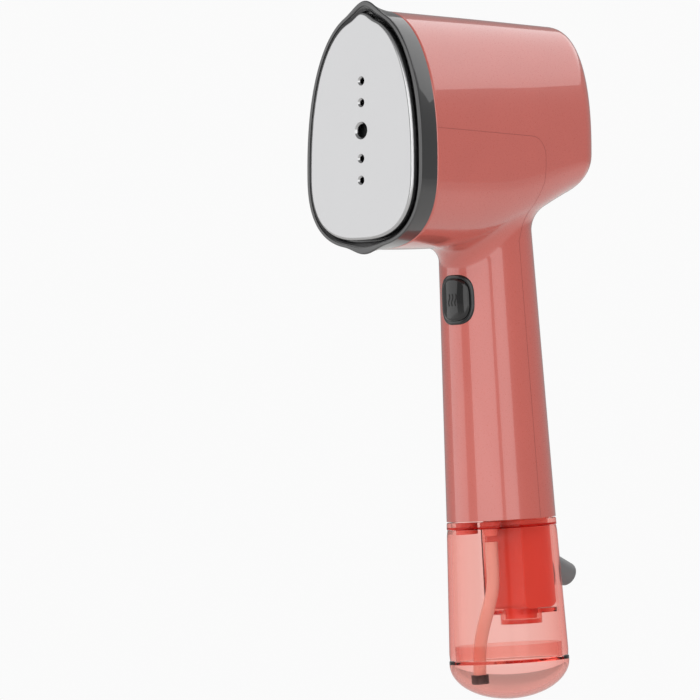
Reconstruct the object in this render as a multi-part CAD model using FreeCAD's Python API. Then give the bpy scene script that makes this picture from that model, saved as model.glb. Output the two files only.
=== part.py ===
"""Handheld garment steamer: a spray head with a proud steam plate, a round grip with a press button, and a
clear water tank that slides down off a dock.  Millimetres, +Z up, the steam plate faces -Y, and the origin is
the middle of the plate's face.  Grip and tank are drawn upright about their own axis, with v pointing to the
rear of the grip and s counted downwards from the neck, and are then leaned back by GRIP_LEAN."""

import FreeCAD, Part
import math
import os

Vector = FreeCAD.Vector

# ---- driving dimensions ---------------------------------------------------------------------------------
WALL = 2.2                     # moulded wall of the housings
GAP = 0.3                      # air between parts that move past each other

# steam plate (proud of the bezel rim)
PLATE_HALF_WIDTH = 31.0
PLATE_TOP = 48.2
PLATE_BOTTOM = -47.0
PLATE_WIDEST = -16.0
PLATE_DEPTH = 5.0              # depth of the turned rim of the pan
PLATE_SHEET = 1.5
PLATE_PEAK = 2.4               # height of the point at the top
PORT_HEIGHTS = (21.3, 12.0, -12.0, -21.3)
PORT_R = 1.3
PORT_SINK_R = 2.0
MAIN_PORT_R = 3.0
MAIN_PORT_SINK_R = 3.8

# bezel
RIM_Y = 1.8                    # front plane of the rim, behind the plate's face
BAND_Y = 11.0                  # where the bezel meets the housings
RIM_FLAT = 2.4                 # width of the flat rim
RIM_SLOPE_DEPTH = 2.6
TOP_LIP = 3.9                  # height of the two lips that an accessory snaps over
BOTTOM_LIP = 2.6
LIP_HALF_WIDTH = 12.5

# head housing: (y, half width, top, bottom, widest level)
HEAD_STATIONS = (
    (BAND_Y, 35.1, 52.0, -50.4, -15.0),
    (38.0, 32.6, 51.9, -49.0, -13.5),
    (62.0, 30.3, 51.8, -45.6, -11.5),
    (86.0, 28.1, 51.6, -36.2, -8.5),
    (108.0, 26.0, 51.4, -25.2, -5.5),
    (130.0, 23.9, 51.2, -15.5, -3.0),
)
HEAD_END_Y = 125.8
HEAD_END_CROWN_R = 150.0
HEAD_END_FILLET = 11.0
UPPER_POWER = 2.25             # roundness of the egg section above and below its widest level
LOWER_POWER = 2.65

# grip and tank, along the leaning axis
NECK = Vector(0, 76.2, -44.6)
GRIP_LEAN = 4.68               # degrees
NECK_R = 20.4
SEAM_R = 23.7
TANK_END_R = 25.9
GRIP_LENGTH = 120.0
TANK_LENGTH = 60.0
NECK_FILLET = 10.0
GRIP_RISE = 46.0               # how far the grip's outer cone runs up inside the head
BASE_RIM = 1.8
BASE_DOME = 16.0
TANK_WALL = 2.2
TANK_TRAVEL_CLEARANCE = 0.35

# dock spine behind the tank
SPINE_HALF_WIDTH = 10.5
SPINE_FRONT = 0.7
SPINE_LENGTH = 39.2
SPINE_BOSS_R = 6.9
SPINE_BOSS_V = 9.1
SPINE_BOSS_LENGTH = 4.4
SPOUT_V = -7.0                 # water coupling between dock and tank
SPOUT_R = 3.0
SOCKET_R = 3.45

# cord gland
GLAND_R = 5.25
GLAND_BORE = 3.3
GLAND_DROP = 26.3              # degrees below square to the grip's axis
GLAND_DEPTH = 19.2             # root, below the seam
GLAND_REACH = 17.6

# steam button
BUTTON_S = 24.0
BUTTON_HALF_WIDTH = 9.7
BUTTON_HALF_HEIGHT = 10.8
BUTTON_POWER = 3.0
BUTTON_RING = 1.7

# shell parting line, seen from the side
PARTING_Z = 0.2
PARTING_TURN_Y = 85.0
PARTING_TURN_R = 9.0

# pump in the grip
PUMP_TOP = 62.0
PUMP_LENGTH = 30.0
PISTON_R = 3.6
PISTON_STROKE = 2.5

# fasteners
SCREW_R = 1.25
SCREW_CORE_R = 1.25
SCREW_HEAD_R = 2.1
SCREW_HEAD_H = 1.5
BOSS_R = 2.6

# places behind the plate
PEAK_HALF_WIDTH = 8.0
PLATE_EDGE_R = 1.2
PLATE_GAP = 0.5
CHAMBER_INSET = 5.4
FLOOR_FRONT = 5.5
FLOOR_BACK = 8.0
CHAMBER_FRONT = 2.5
LUG_FRONT = 9.0
LUG_BACK = 12.0
LUG_R = 2.8
CHAMBER_BACK = 24.0
CAVITY_FRONT = 8.5
CAVITY_HALF_WIDTH = 9.5
COVER_FRONT = 25.0
COVER_BACK = 26.5
NOZZLE_Z = -20.0
NOZZLE_R = 2.0
NOZZLE_END_Y = 37.0
THERMOSTAT_Z = 7.0
SHIELD_Y = 46.0
BEZEL_SCREWS = ((0.0, 46.0), (0.0, -44.6), (-28.9, -14.0), (28.9, -14.0))
CHAMBER_SCREWS = ((-24.2, 19.5), (24.2, 19.5), (-25.8, -31.0), (25.8, -31.0))
COVER_SCREWS = ((-12.8, 26.0), (12.8, 26.0), (-14.6, -17.0), (14.6, -17.0))

# heater
HEATER_X = 17.0
HEATER_Y = 12.2
HEATER_TOP = 13.0
HEATER_BOTTOM = -34.0
HEATER_BEND = 7.0
HEATER_R = 3.2
HEATER_END_Y = 34.0

# switch, behind the button
STEM_R = 2.0
STEM_END_V = -13.1
SPRING_START_V = -18.1
SPRING_LENGTH = 6.8
SPRING_WIRE_R = 0.3
SPRING_TURNS = 5
PUMP_SPRING_R = 2.6
SWITCH_FRONT_V = -11.0
SWITCH_PLATE_V = -2.0
SWITCH_SCREW_X = 13.0
PLUNGER_R = 1.2

# pump cradle, hoses and leads
CRADLE_BACK = 14.5
CRADLE_SCREWS = ((-8.0, 69.0), (8.0, 69.0), (-8.0, 85.0), (8.0, 85.0))
GROMMET_R = 4.2
NIPPLE_R = 2.0
HOSE_R = 3.1
LEAD_R = 1.2

# control board
BOARD_TOP = 30.6
BOARD_SCREWS = ((-13.5, 58.0), (13.5, 58.0), (-13.5, 97.0), (13.5, 97.0))

# dock and tank fittings
DOCK_TOP = 116.5
DOCK_SCREWS = ((-13.0, -13.0), (13.0, -13.0), (-16.5, 9.0), (16.5, 9.0))
LID_DEPTH = 3.2
WELL_R = 5.3
WELL_END = 129.0
SEAL_R = 4.4
PICKUP_R = 2.8
PLUG_R = 4.8
PLUG_PLACE = (-12.0, -9.5)

OUT = "parts"


# ---- small helpers --------------------------------------------------------------------------------------
def export(name, *shapes):
    """Write one node: a single solid, or several separate ones."""
    solids = [solid for shape in shapes for solid in shape.Solids]
    body = solids[0] if len(solids) == 1 else Part.makeCompound(solids)
    body.exportStep(os.path.join(OUT, name + ".step"))


def cylinder(radius, start, end):
    """Cylinder between two points."""
    axis = end - start
    return Part.makeCylinder(radius, axis.Length, start, axis)


def box(low, high):
    """Box between two corners."""
    size = high - low
    return Part.makeBox(size.x, size.y, size.z, low)


def ring(outer, inner, start, end):
    """Tube between two points."""
    return cylinder(outer, start, end).cut(cylinder(inner, start, end))


def grip(shape):
    """Carry a shape from the upright grip frame, where it is drawn at z = -s, to its leaning place."""
    placed = shape.copy()
    placed.rotate(Vector(0, 0, 0), Vector(1, 0, 0), GRIP_LEAN)
    placed.translate(NECK)
    return placed


def rounded_route(points, radius):
    """Wire along straight runs with a tangent arc of one radius at each corner."""
    edges = []
    start = points[0]
    for before, corner, after in zip(points, points[1:], points[2:]):
        come = (corner - before).normalize()
        leave = (after - corner).normalize()
        turn = come.getAngle(leave)
        reach = radius * math.tan(turn / 2)
        enter = corner - come * reach
        out = corner + leave * reach
        inward = (leave - come).normalize()
        middle = corner + inward * (radius / math.cos(turn / 2) - radius)
        edges.append(Part.LineSegment(start, enter).toShape())
        edges.append(Part.Arc(enter, middle, out).toShape())
        start = out
    edges.append(Part.LineSegment(start, points[-1]).toShape())
    return Part.Wire(edges)


def tube(points, bend, outer, inner=0.0):
    """Round bar or tube along a rounded route."""
    route = rounded_route(points, bend)
    heading = points[1] - points[0]
    solid = route.makePipeShell([Part.Wire(Part.makeCircle(outer, points[0], heading))], True, True)
    if inner:
        hole = route.makePipeShell([Part.Wire(Part.makeCircle(inner, points[0], heading))], True, True)
        solid = solid.cut(hole)
    return solid


def helix_spring(start, axis_length, radius, wire, turns):
    """Coil spring along +Z from a point, as a round bar swept on a helix."""
    path = Part.makeHelix(axis_length / turns, axis_length, radius)
    circle = Part.Wire(Part.makeCircle(wire, Vector(radius, 0, 0), Vector(0, 1, 0)))
    spring = Part.Wire(path.Edges).makePipeShell([circle], True, True)
    spring.translate(start)
    return spring


# ---- egg-shaped sections --------------------------------------------------------------------------------
def egg_points(y, half_width, top, bottom, widest, lips=(0.0, 0.0), count=48):
    """Points of an egg: two superellipse halves that meet at the widest level, with a cosine lip at each end."""
    points = []
    for index in range(count):
        angle = 2 * math.pi * index / count
        side = math.sin(angle)
        rise = math.cos(angle)
        power = UPPER_POWER if rise >= 0 else LOWER_POWER
        height = top - widest if rise >= 0 else widest - bottom
        x = half_width * math.copysign(abs(side) ** (2 / power), side)
        z = widest + height * math.copysign(abs(rise) ** (2 / power), rise)
        bump = math.cos(math.pi / 2 * min(1.0, abs(x) / LIP_HALF_WIDTH)) ** 2
        z += lips[0] * bump if rise >= 0 else -lips[1] * bump
        points.append(Vector(x, y, z))
    return points


def egg_wire(*args, **options):
    """Closed smooth wire through an egg's points."""
    curve = Part.BSplineCurve()
    curve.interpolate(Points=egg_points(*args, **options), PeriodicFlag=True)
    return Part.Wire([curve.toShape()])


def egg_prism(start, end, half_width, top, bottom, widest, lips=(0.0, 0.0), count=48):
    """Straight solid of one egg section between two planes."""
    face = Part.Face(egg_wire(start, half_width, top, bottom, widest, lips=lips, count=count))
    return face.extrude(Vector(0, end - start, 0))


def head_solid(inset, first_y, last_y):
    """The head's outer form, taken in by a wall thickness, between two planes."""
    wires = [egg_wire(y, w - inset, top - inset, bottom + inset, widest, count=32)
             for y, w, top, bottom, widest in HEAD_STATIONS]
    solid = Part.makeLoft(wires, True, False)
    crown = Part.makeSphere(HEAD_END_CROWN_R - inset, Vector(0, HEAD_END_Y - HEAD_END_CROWN_R, 5.0))
    block = box(Vector(-60, first_y, -80), Vector(60, last_y, 80))
    return solid.common(crown).common(block)


def grip_radius(s):
    """Outer radius of grip and tank at a distance below the neck."""
    if s <= GRIP_LENGTH:
        return NECK_R + (SEAM_R - NECK_R) * s / GRIP_LENGTH
    return SEAM_R + (TANK_END_R - SEAM_R) * (s - GRIP_LENGTH) / TANK_LENGTH


def grip_cone(first, last, inset=0.0):
    """Part of the grip's or the tank's cone between two distances below the neck, in the upright frame."""
    return Part.makeCone(grip_radius(last) - inset, grip_radius(first) - inset, last - first,
                         Vector(0, 0, -last), Vector(0, 0, 1))


# ---- housing --------------------------------------------------------------------------------------------
def housing_outer():
    """Head and grip as one smooth body, with rounded rear end and blended neck."""
    head = head_solid(0.0, BAND_Y, 140.0)
    rim = [e for e in head.Edges if e.BoundBox.YMin > 100.0]
    head = head.makeFillet(HEAD_END_FILLET, rim)
    handle = grip(grip_cone(-GRIP_RISE, GRIP_LENGTH))
    body = head.fuse(handle)
    joint = [e for e in body.Edges
             if -62 < e.BoundBox.ZMin and e.BoundBox.ZMax < -20 and e.BoundBox.YMin > 40
             and e.BoundBox.YMax < 112 and e.BoundBox.XLength > 15 and e.BoundBox.ZLength > 4]
    return body.makeFillet(NECK_FILLET, joint)


def housing_inner():
    """Hollow of the head and the grip."""
    head = head_solid(WALL, BAND_Y - 1.0, 140.0)
    handle = grip(grip_cone(-GRIP_RISE + 8.0, GRIP_LENGTH + 1.0, WALL))
    return head.fuse(handle)


def front_region():
    """Everything in front of the parting line, as a slab across the whole width."""
    lean = math.radians(GRIP_LEAN)
    side_z = -19.0
    foot = NECK + Vector(0, math.sin(lean), -math.cos(lean)) * (GRIP_LENGTH + 5)
    turn = PARTING_TURN_Y - PARTING_TURN_R
    corner = Vector(-70, PARTING_TURN_Y - PARTING_TURN_R * (1 - math.sqrt(0.5)),
                    PARTING_Z - PARTING_TURN_R * (1 - math.sqrt(0.5)))
    start = Vector(-70, 0, PARTING_Z)
    bend = Vector(-70, turn, PARTING_Z)
    fall = Vector(-70, PARTING_TURN_Y, PARTING_Z - PARTING_TURN_R)
    side = Vector(-70, PARTING_TURN_Y, side_z)
    neck = Vector(-70, NECK.y, NECK.z)
    toe = Vector(-70, foot.y, foot.z)
    edges = [
        Part.LineSegment(start, bend).toShape(),
        Part.Arc(bend, corner, fall).toShape(),
        Part.LineSegment(fall, side).toShape(),
        Part.LineSegment(side, neck).toShape(),
        Part.LineSegment(neck, toe).toShape(),
        Part.LineSegment(toe, Vector(-70, 0, foot.z)).toShape(),
        Part.LineSegment(Vector(-70, 0, foot.z), start).toShape(),
    ]
    return Part.Face(Part.Wire(edges)).extrude(Vector(140, 0, 0))



def shell_boss(start, end, radius, inside):
    """Screw post between two points, kept inside a given hollow's outer wall."""
    return cylinder(radius, start, end).common(inside)


def make_housings():
    """Front shell (underside of the head and front of the grip) and rear shell (top, back and rear of the grip)."""
    outer = housing_outer()
    walls = outer.cut(housing_inner())
    front = front_region()

    front_posts = [shell_boss(Vector(x, BAND_Y, z), Vector(x * 1.06, BAND_Y + 9, z * 1.03), BOSS_R, outer)
                   for x, z in BEZEL_SCREWS if z < PARTING_Z]
    front_posts += [box(Vector(side * 33 - 3, BAND_Y, -15), Vector(side * 33 + 3, BAND_Y + 9, -13)).common(outer)
                    for side in (-1, 1)]
    front_posts.append(box(Vector(-1, BAND_Y, -50), Vector(1, BAND_Y + 9, -45)).common(outer))
    front_posts += [grip(cylinder(BOSS_R, Vector(x, v, -100.0), Vector(x, v, -DOCK_TOP))).common(outer)
                    for x, v in DOCK_SCREWS if v < 0]
    front_posts += [grip(cylinder(BOSS_R, Vector(side * SWITCH_SCREW_X, -20, -BUTTON_S),
                                  Vector(side * SWITCH_SCREW_X, SWITCH_PLATE_V, -BUTTON_S))).common(outer)
                    for side in (-1, 1)]
    front_shell = walls.common(front)
    for post in front_posts:
        front_shell = front_shell.fuse(post)
    front_shell = front_shell.cut(grip(button_prism(BUTTON_HALF_WIDTH + 0.05, BUTTON_HALF_HEIGHT + 0.05)))
    for x, z in BEZEL_SCREWS:
        front_shell = front_shell.cut(cylinder(SCREW_CORE_R, Vector(x, BAND_Y - 1, z), Vector(x, BAND_Y + 8, z)))
    for x, v in DOCK_SCREWS:
        front_shell = front_shell.cut(grip(cylinder(SCREW_CORE_R, Vector(x, v, -104), Vector(x, v, -DOCK_TOP))))
    for side in (-1, 1):
        start = Vector(side * SWITCH_SCREW_X, SWITCH_PLATE_V - 8, -BUTTON_S)
        front_shell = front_shell.cut(grip(cylinder(SCREW_CORE_R, start, start + Vector(0, 9, 0))))

    rear_shell = walls.cut(front)
    rear_posts = [cylinder(BOSS_R, Vector(x, BAND_Y, z), Vector(x, BAND_Y + 9, z)).common(outer)
                  for x, z in BEZEL_SCREWS if z > PARTING_Z]
    rear_posts.append(box(Vector(-1, BAND_Y, 46), Vector(1, BAND_Y + 9, 53)).common(outer))
    rear_posts += [cylinder(BOSS_R, Vector(x, y, BOARD_TOP), Vector(x, y, 60)).common(outer)
                   for x, y in BOARD_SCREWS]
    rear_posts += [grip(cylinder(BOSS_R, Vector(x, v, -100.0), Vector(x, v, -DOCK_TOP))).common(outer)
                   for x, v in DOCK_SCREWS if v > 0]
    rear_posts += [grip(cylinder(BOSS_R, Vector(x, CRADLE_BACK, -s), Vector(x, 30, -s))).common(outer)
                   for x, s in CRADLE_SCREWS]
    for post in rear_posts:
        rear_shell = rear_shell.fuse(post)
    for x, z in BEZEL_SCREWS:
        rear_shell = rear_shell.cut(cylinder(SCREW_CORE_R, Vector(x, BAND_Y - 1, z), Vector(x, BAND_Y + 8, z)))
    for x, y in BOARD_SCREWS:
        rear_shell = rear_shell.cut(cylinder(SCREW_CORE_R, Vector(x, y, BOARD_TOP), Vector(x, y, BOARD_TOP + 8)))
    for x, v in DOCK_SCREWS:
        rear_shell = rear_shell.cut(grip(cylinder(SCREW_CORE_R, Vector(x, v, -104), Vector(x, v, -DOCK_TOP))))
    for x, s in CRADLE_SCREWS:
        rear_shell = rear_shell.cut(grip(cylinder(SCREW_CORE_R, Vector(x, CRADLE_BACK, -s),
                                                  Vector(x, CRADLE_BACK + 2.5, -s))))
    export("front_shell", front_shell)
    export("rear_shell", rear_shell)


# ---- front: plate, bezel and steam chamber --------------------------------------------------------------
def plate_wire(y, grow, peak=PLATE_PEAK):
    """Outline of the steam plate, grown or taken in by a margin, with its small point at the top."""
    points = egg_points(y, PLATE_HALF_WIDTH + grow, PLATE_TOP + grow, PLATE_BOTTOM - grow, PLATE_WIDEST, count=72)
    for point in points:
        if point.z > PLATE_WIDEST:
            point.z += peak * math.cos(math.pi / 2 * min(1.0, abs(point.x) / PEAK_HALF_WIDTH)) ** 2
    curve = Part.BSplineCurve()
    curve.interpolate(Points=points, PeriodicFlag=True)
    return Part.Wire([curve.toShape()])


def plate_prism(start, end, grow, peak=PLATE_PEAK):
    """Straight solid of the plate's outline between two planes."""
    return Part.Face(plate_wire(start, grow, peak)).extrude(Vector(0, end - start, 0))


def make_soleplate():
    """Polished pan: a flat sheet with a turned rim and five countersunk steam ports."""
    pan = plate_prism(0, PLATE_DEPTH, 0.0)
    try:
        pan = pan.makeFillet(PLATE_EDGE_R, [e for e in pan.Edges if e.BoundBox.YMax < 0.1])
    except Part.OCCError:
        print("soleplate: edge left square")
    pan = pan.cut(plate_prism(PLATE_SHEET, PLATE_DEPTH + 1, -PLATE_SHEET))
    for z in PORT_HEIGHTS:
        pan = pan.cut(countersunk_port(z, PORT_R, PORT_SINK_R))
    pan = pan.cut(countersunk_port(0.0, MAIN_PORT_R, MAIN_PORT_SINK_R))
    export("soleplate", pan)


def countersunk_port(z, bore, mouth):
    """Cutter for one port: a bore with a 45 degree mouth at the plate's face."""
    hole = cylinder(bore, Vector(0, -1, z), Vector(0, PLATE_SHEET + 1, z))
    sink = Part.makeCone(mouth + 0.5, bore, mouth + 0.5 - bore, Vector(0, -0.5, z), Vector(0, 1, 0))
    return hole.fuse(sink)


def make_bezel():
    """Dark rim around the plate: a flat front edge, a slope down to the plate, and a lip at top and bottom."""
    rim_size = (HEAD_STATIONS[0][1] - 0.4, 52.0, -50.4, -15.0)
    rim = egg_wire(RIM_Y, *rim_size, lips=(TOP_LIP, BOTTOM_LIP))
    back = egg_wire(BAND_Y - 0.25, HEAD_STATIONS[0][1] + 0.1, 52.1, -50.5, -15.0)
    body = Part.makeLoft([rim, back], True, False)
    mouth = egg_wire(RIM_Y, rim_size[0] - RIM_FLAT, rim_size[1] - RIM_FLAT, rim_size[2] + RIM_FLAT,
                     rim_size[3], lips=(TOP_LIP, BOTTOM_LIP))
    slope_end = RIM_Y + RIM_SLOPE_DEPTH
    body = body.cut(Part.makeLoft([mouth, plate_wire(slope_end, PLATE_GAP)], True, False))
    body = body.cut(plate_prism(slope_end - 0.3, FLOOR_FRONT, PLATE_GAP))
    body = body.cut(plate_prism(FLOOR_FRONT - 0.3, BAND_Y, -CHAMBER_INSET + 0.6, 0.0))
    hollow = egg_prism(FLOOR_BACK, BAND_Y + 1, 34.0 - WALL, 50.6 - WALL, -48.9 + WALL, -15.0)
    posts = [cylinder(BOSS_R, Vector(x, FLOOR_FRONT + 0.5, z), Vector(x, BAND_Y, z)) for x, z in BEZEL_SCREWS]
    for post in posts:
        hollow = hollow.cut(post)
    body = body.cut(hollow)
    tongue = egg_prism(BAND_Y - 2.5, BAND_Y + 3.0, 34.4 - WALL, 51.4 - WALL, -49.8 + WALL, -15.0)
    tongue = tongue.cut(egg_prism(BAND_Y - 4, BAND_Y + 4.0, 33.2 - WALL, 50.2 - WALL, -48.6 + WALL, -15.0))
    for x, z in BEZEL_SCREWS:
        tongue = tongue.cut(box(Vector(x - 4, BAND_Y - 0.1, z - 4), Vector(x + 4, BAND_Y + 5, z + 4)))
    for side in (-1, 1):
        tongue = tongue.cut(box(Vector(side * 32 - 4, BAND_Y - 0.1, -16), Vector(side * 32 + 4, BAND_Y + 5, -12)))
    body = body.fuse(tongue)
    for x, z in BEZEL_SCREWS:
        body = body.cut(cylinder(SCREW_R + 0.1, Vector(x, 0, z), Vector(x, BAND_Y + 4, z)))
        body = body.cut(cylinder(SCREW_HEAD_R + 0.1, Vector(x, 0, z), Vector(x, FLOOR_FRONT + SCREW_HEAD_H, z)))
    for x, z in CHAMBER_SCREWS:
        body = body.cut(cylinder(SCREW_CORE_R, Vector(x, FLOOR_FRONT, z), Vector(x, FLOOR_BACK + 1, z)))
    export("front_bezel", body)


def chamber_prism(start, end, grow=0.0):
    """Straight solid of the steam chamber's outline."""
    return plate_prism(start, end, grow - CHAMBER_INSET, 0.0)


def make_chamber():
    """Cast steam chamber with its heater, cover, seals, thermostat, fuse and water nozzle."""
    ring_gasket = plate_prism(PLATE_SHEET, CHAMBER_FRONT, -PLATE_SHEET - 0.4, 0.0)
    ring_gasket = ring_gasket.cut(plate_prism(0, CHAMBER_FRONT + 1, -CHAMBER_INSET - 3.0, 0.0))
    export("soleplate_gasket", ring_gasket)

    body = chamber_prism(CHAMBER_FRONT, CHAMBER_BACK)
    for x, z in CHAMBER_SCREWS:
        body = body.cut(cylinder(LUG_R, Vector(x, 0, z), Vector(x, LUG_FRONT, z)))
        body = body.cut(cylinder(LUG_R, Vector(x, LUG_BACK, z), Vector(x, CHAMBER_BACK + 1, z)))
        lug = cylinder(LUG_R, Vector(x, LUG_FRONT, z), Vector(x, LUG_BACK, z))
        web = box(Vector(min(x, x * 0.7), LUG_FRONT, z - LUG_R), Vector(max(x, x * 0.7), LUG_BACK, z + LUG_R))
        body = body.fuse(lug.fuse(web))
    body = body.cut(chamber_prism(CHAMBER_FRONT - 1, CHAMBER_FRONT + 3.5, -3.0))
    cavity = [egg_prism(CAVITY_FRONT, CHAMBER_BACK + 1, CAVITY_HALF_WIDTH, 30.0, -30.0, -4.0)]
    for side in (-1, 1):
        cavity.append(cylinder(1.6, Vector(side * 4.0, CHAMBER_FRONT, 22), Vector(side * 4.0, CAVITY_FRONT + 1, 22)))
        cavity.append(cylinder(1.6, Vector(side * 4.0, CHAMBER_FRONT, -22), Vector(side * 4.0, CAVITY_FRONT + 1, -22)))
    for cut in cavity:
        body = body.cut(cut)
    element = heater_shape()
    body = body.cut(element)
    for x, z in CHAMBER_SCREWS:
        body = body.cut(cylinder(SCREW_R + 0.1, Vector(x, LUG_FRONT - 1, z), Vector(x, LUG_BACK + 1, z)))
    for x, z in COVER_SCREWS:
        body = body.cut(cylinder(SCREW_CORE_R, Vector(x, CHAMBER_BACK - 6, z), Vector(x, CHAMBER_BACK + 1, z)))
    export("steam_chamber", body)
    export("heating_element", element)

    spacers = [ring(LUG_R - 0.1, SCREW_R + 0.1, Vector(x, FLOOR_BACK, z), Vector(x, LUG_FRONT, z))
               for x, z in CHAMBER_SCREWS]
    export("chamber_spacers", *spacers)

    outline = cover_prism(CHAMBER_BACK, COVER_FRONT)
    opening = egg_prism(CHAMBER_BACK - 1, COVER_FRONT + 1, CAVITY_HALF_WIDTH, 30.0, -30.0, -4.0)
    gasket = outline.cut(opening)
    cover = cover_prism(COVER_FRONT, COVER_BACK)
    for x, z in COVER_SCREWS:
        hole = cylinder(SCREW_R + 0.1, Vector(x, CHAMBER_BACK - 1, z), Vector(x, COVER_BACK + 1, z))
        gasket = gasket.cut(hole)
        cover = cover.cut(hole)
    cover = cover.cut(cylinder(NOZZLE_R, Vector(0, COVER_FRONT - 1, NOZZLE_Z), Vector(0, COVER_BACK + 1, NOZZLE_Z)))
    export("chamber_gasket", gasket)
    export("chamber_cover", cover)

    nozzle = cylinder(NOZZLE_R, Vector(0, COVER_FRONT - 3, NOZZLE_Z), Vector(0, NOZZLE_END_Y, NOZZLE_Z))
    nozzle = nozzle.fuse(cylinder(4.0, Vector(0, COVER_BACK, NOZZLE_Z), Vector(0, COVER_BACK + 2.0, NOZZLE_Z)))
    nozzle = nozzle.cut(cylinder(0.8, Vector(0, 0, NOZZLE_Z), Vector(0, 60, NOZZLE_Z)))
    export("water_nozzle", nozzle)

    body = cylinder(8.0, Vector(0, COVER_BACK, THERMOSTAT_Z), Vector(0, COVER_BACK + 6.5, THERMOSTAT_Z))
    blades = [box(Vector(side * 6 - 0.4, COVER_BACK + 6.0, THERMOSTAT_Z - 3),
                  Vector(side * 6 + 0.4, COVER_BACK + 12.5, THERMOSTAT_Z + 3)) for side in (-1, 1)]
    export("thermostat", body.fuse(blades[0]).fuse(blades[1]))
    fuse = cylinder(2.0, Vector(-5.5, COVER_BACK + 2.0, -9), Vector(5.5, COVER_BACK + 2.0, -9))
    fuse = fuse.fuse(cylinder(0.5, Vector(-10, COVER_BACK + 2.0, -9), Vector(10, COVER_BACK + 2.0, -9)))
    export("thermal_fuse", fuse)

    shield = head_solid(WALL + 0.15, SHIELD_Y, SHIELD_Y + 0.6)
    shield = shield.cut(cylinder(5.0, Vector(0, SHIELD_Y - 1, NOZZLE_Z), Vector(0, SHIELD_Y + 2, NOZZLE_Z)))
    for side in (-1, 1):
        shield = shield.cut(cylinder(3.5, Vector(side * HEATER_X, SHIELD_Y - 1, HEATER_TOP),
                                     Vector(side * HEATER_X, SHIELD_Y + 2, HEATER_TOP)))
    export("heat_shield", shield)

    export("bezel_screws", *[screw(Vector(x, FLOOR_FRONT + SCREW_HEAD_H, z), Vector(0, 1, 0), 12.0)
                             for x, z in BEZEL_SCREWS])
    export("chamber_screws", *[screw(Vector(x, LUG_BACK, z), Vector(0, -1, 0), LUG_BACK - FLOOR_FRONT - 0.3)
                               for x, z in CHAMBER_SCREWS])
    export("cover_screws", *[screw(Vector(x, COVER_BACK, z), Vector(0, -1, 0), 7.5) for x, z in COVER_SCREWS])


def heater_shape():
    """Tubular heater: a U in the casting whose two ends turn back and carry pins."""
    points = [Vector(-HEATER_X, HEATER_END_Y, HEATER_TOP), Vector(-HEATER_X, HEATER_Y, HEATER_TOP),
              Vector(-HEATER_X, HEATER_Y, HEATER_BOTTOM), Vector(HEATER_X, HEATER_Y, HEATER_BOTTOM),
              Vector(HEATER_X, HEATER_Y, HEATER_TOP), Vector(HEATER_X, HEATER_END_Y, HEATER_TOP)]
    element = tube(points, HEATER_BEND, HEATER_R)
    for side in (-1, 1):
        pin = cylinder(1.2, Vector(side * HEATER_X, HEATER_END_Y - 1, HEATER_TOP),
                       Vector(side * HEATER_X, HEATER_END_Y + 5, HEATER_TOP))
        element = element.fuse(pin)
    return element


def cover_prism(start, end):
    """Outline of the chamber's cover, with an ear at each screw."""
    body = egg_prism(start, end, CAVITY_HALF_WIDTH + 3.0, 33.5, -33.5, -4.0)
    for x, z in COVER_SCREWS:
        body = body.fuse(cylinder(3.0, Vector(x, start, z), Vector(x, end, z)))
    return body


def screw(seat, into, length):
    """Pan-head screw whose head sits on a point and whose shank runs one way."""
    head = cylinder(SCREW_HEAD_R, seat, seat - into * SCREW_HEAD_H)
    return head.fuse(cylinder(SCREW_R, seat, seat + into * length))


# ---- button and switch ----------------------------------------------------------------------------------
def button_prism(half_width, half_height, start=-40.0, end=-8.0):
    """Rounded-square prism that runs into the front of the grip."""
    points = []
    for index in range(48):
        angle = 2 * math.pi * index / 48
        x = half_width * math.copysign(abs(math.sin(angle)) ** (2 / BUTTON_POWER), math.sin(angle))
        z = half_height * math.copysign(abs(math.cos(angle)) ** (2 / BUTTON_POWER), math.cos(angle))
        points.append(Vector(x, start, z - BUTTON_S))
    curve = Part.BSplineCurve()
    curve.interpolate(Points=points, PeriodicFlag=True)
    return Part.Face(Part.Wire([curve.toShape()])).extrude(Vector(0, end - start, 0))


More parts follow.
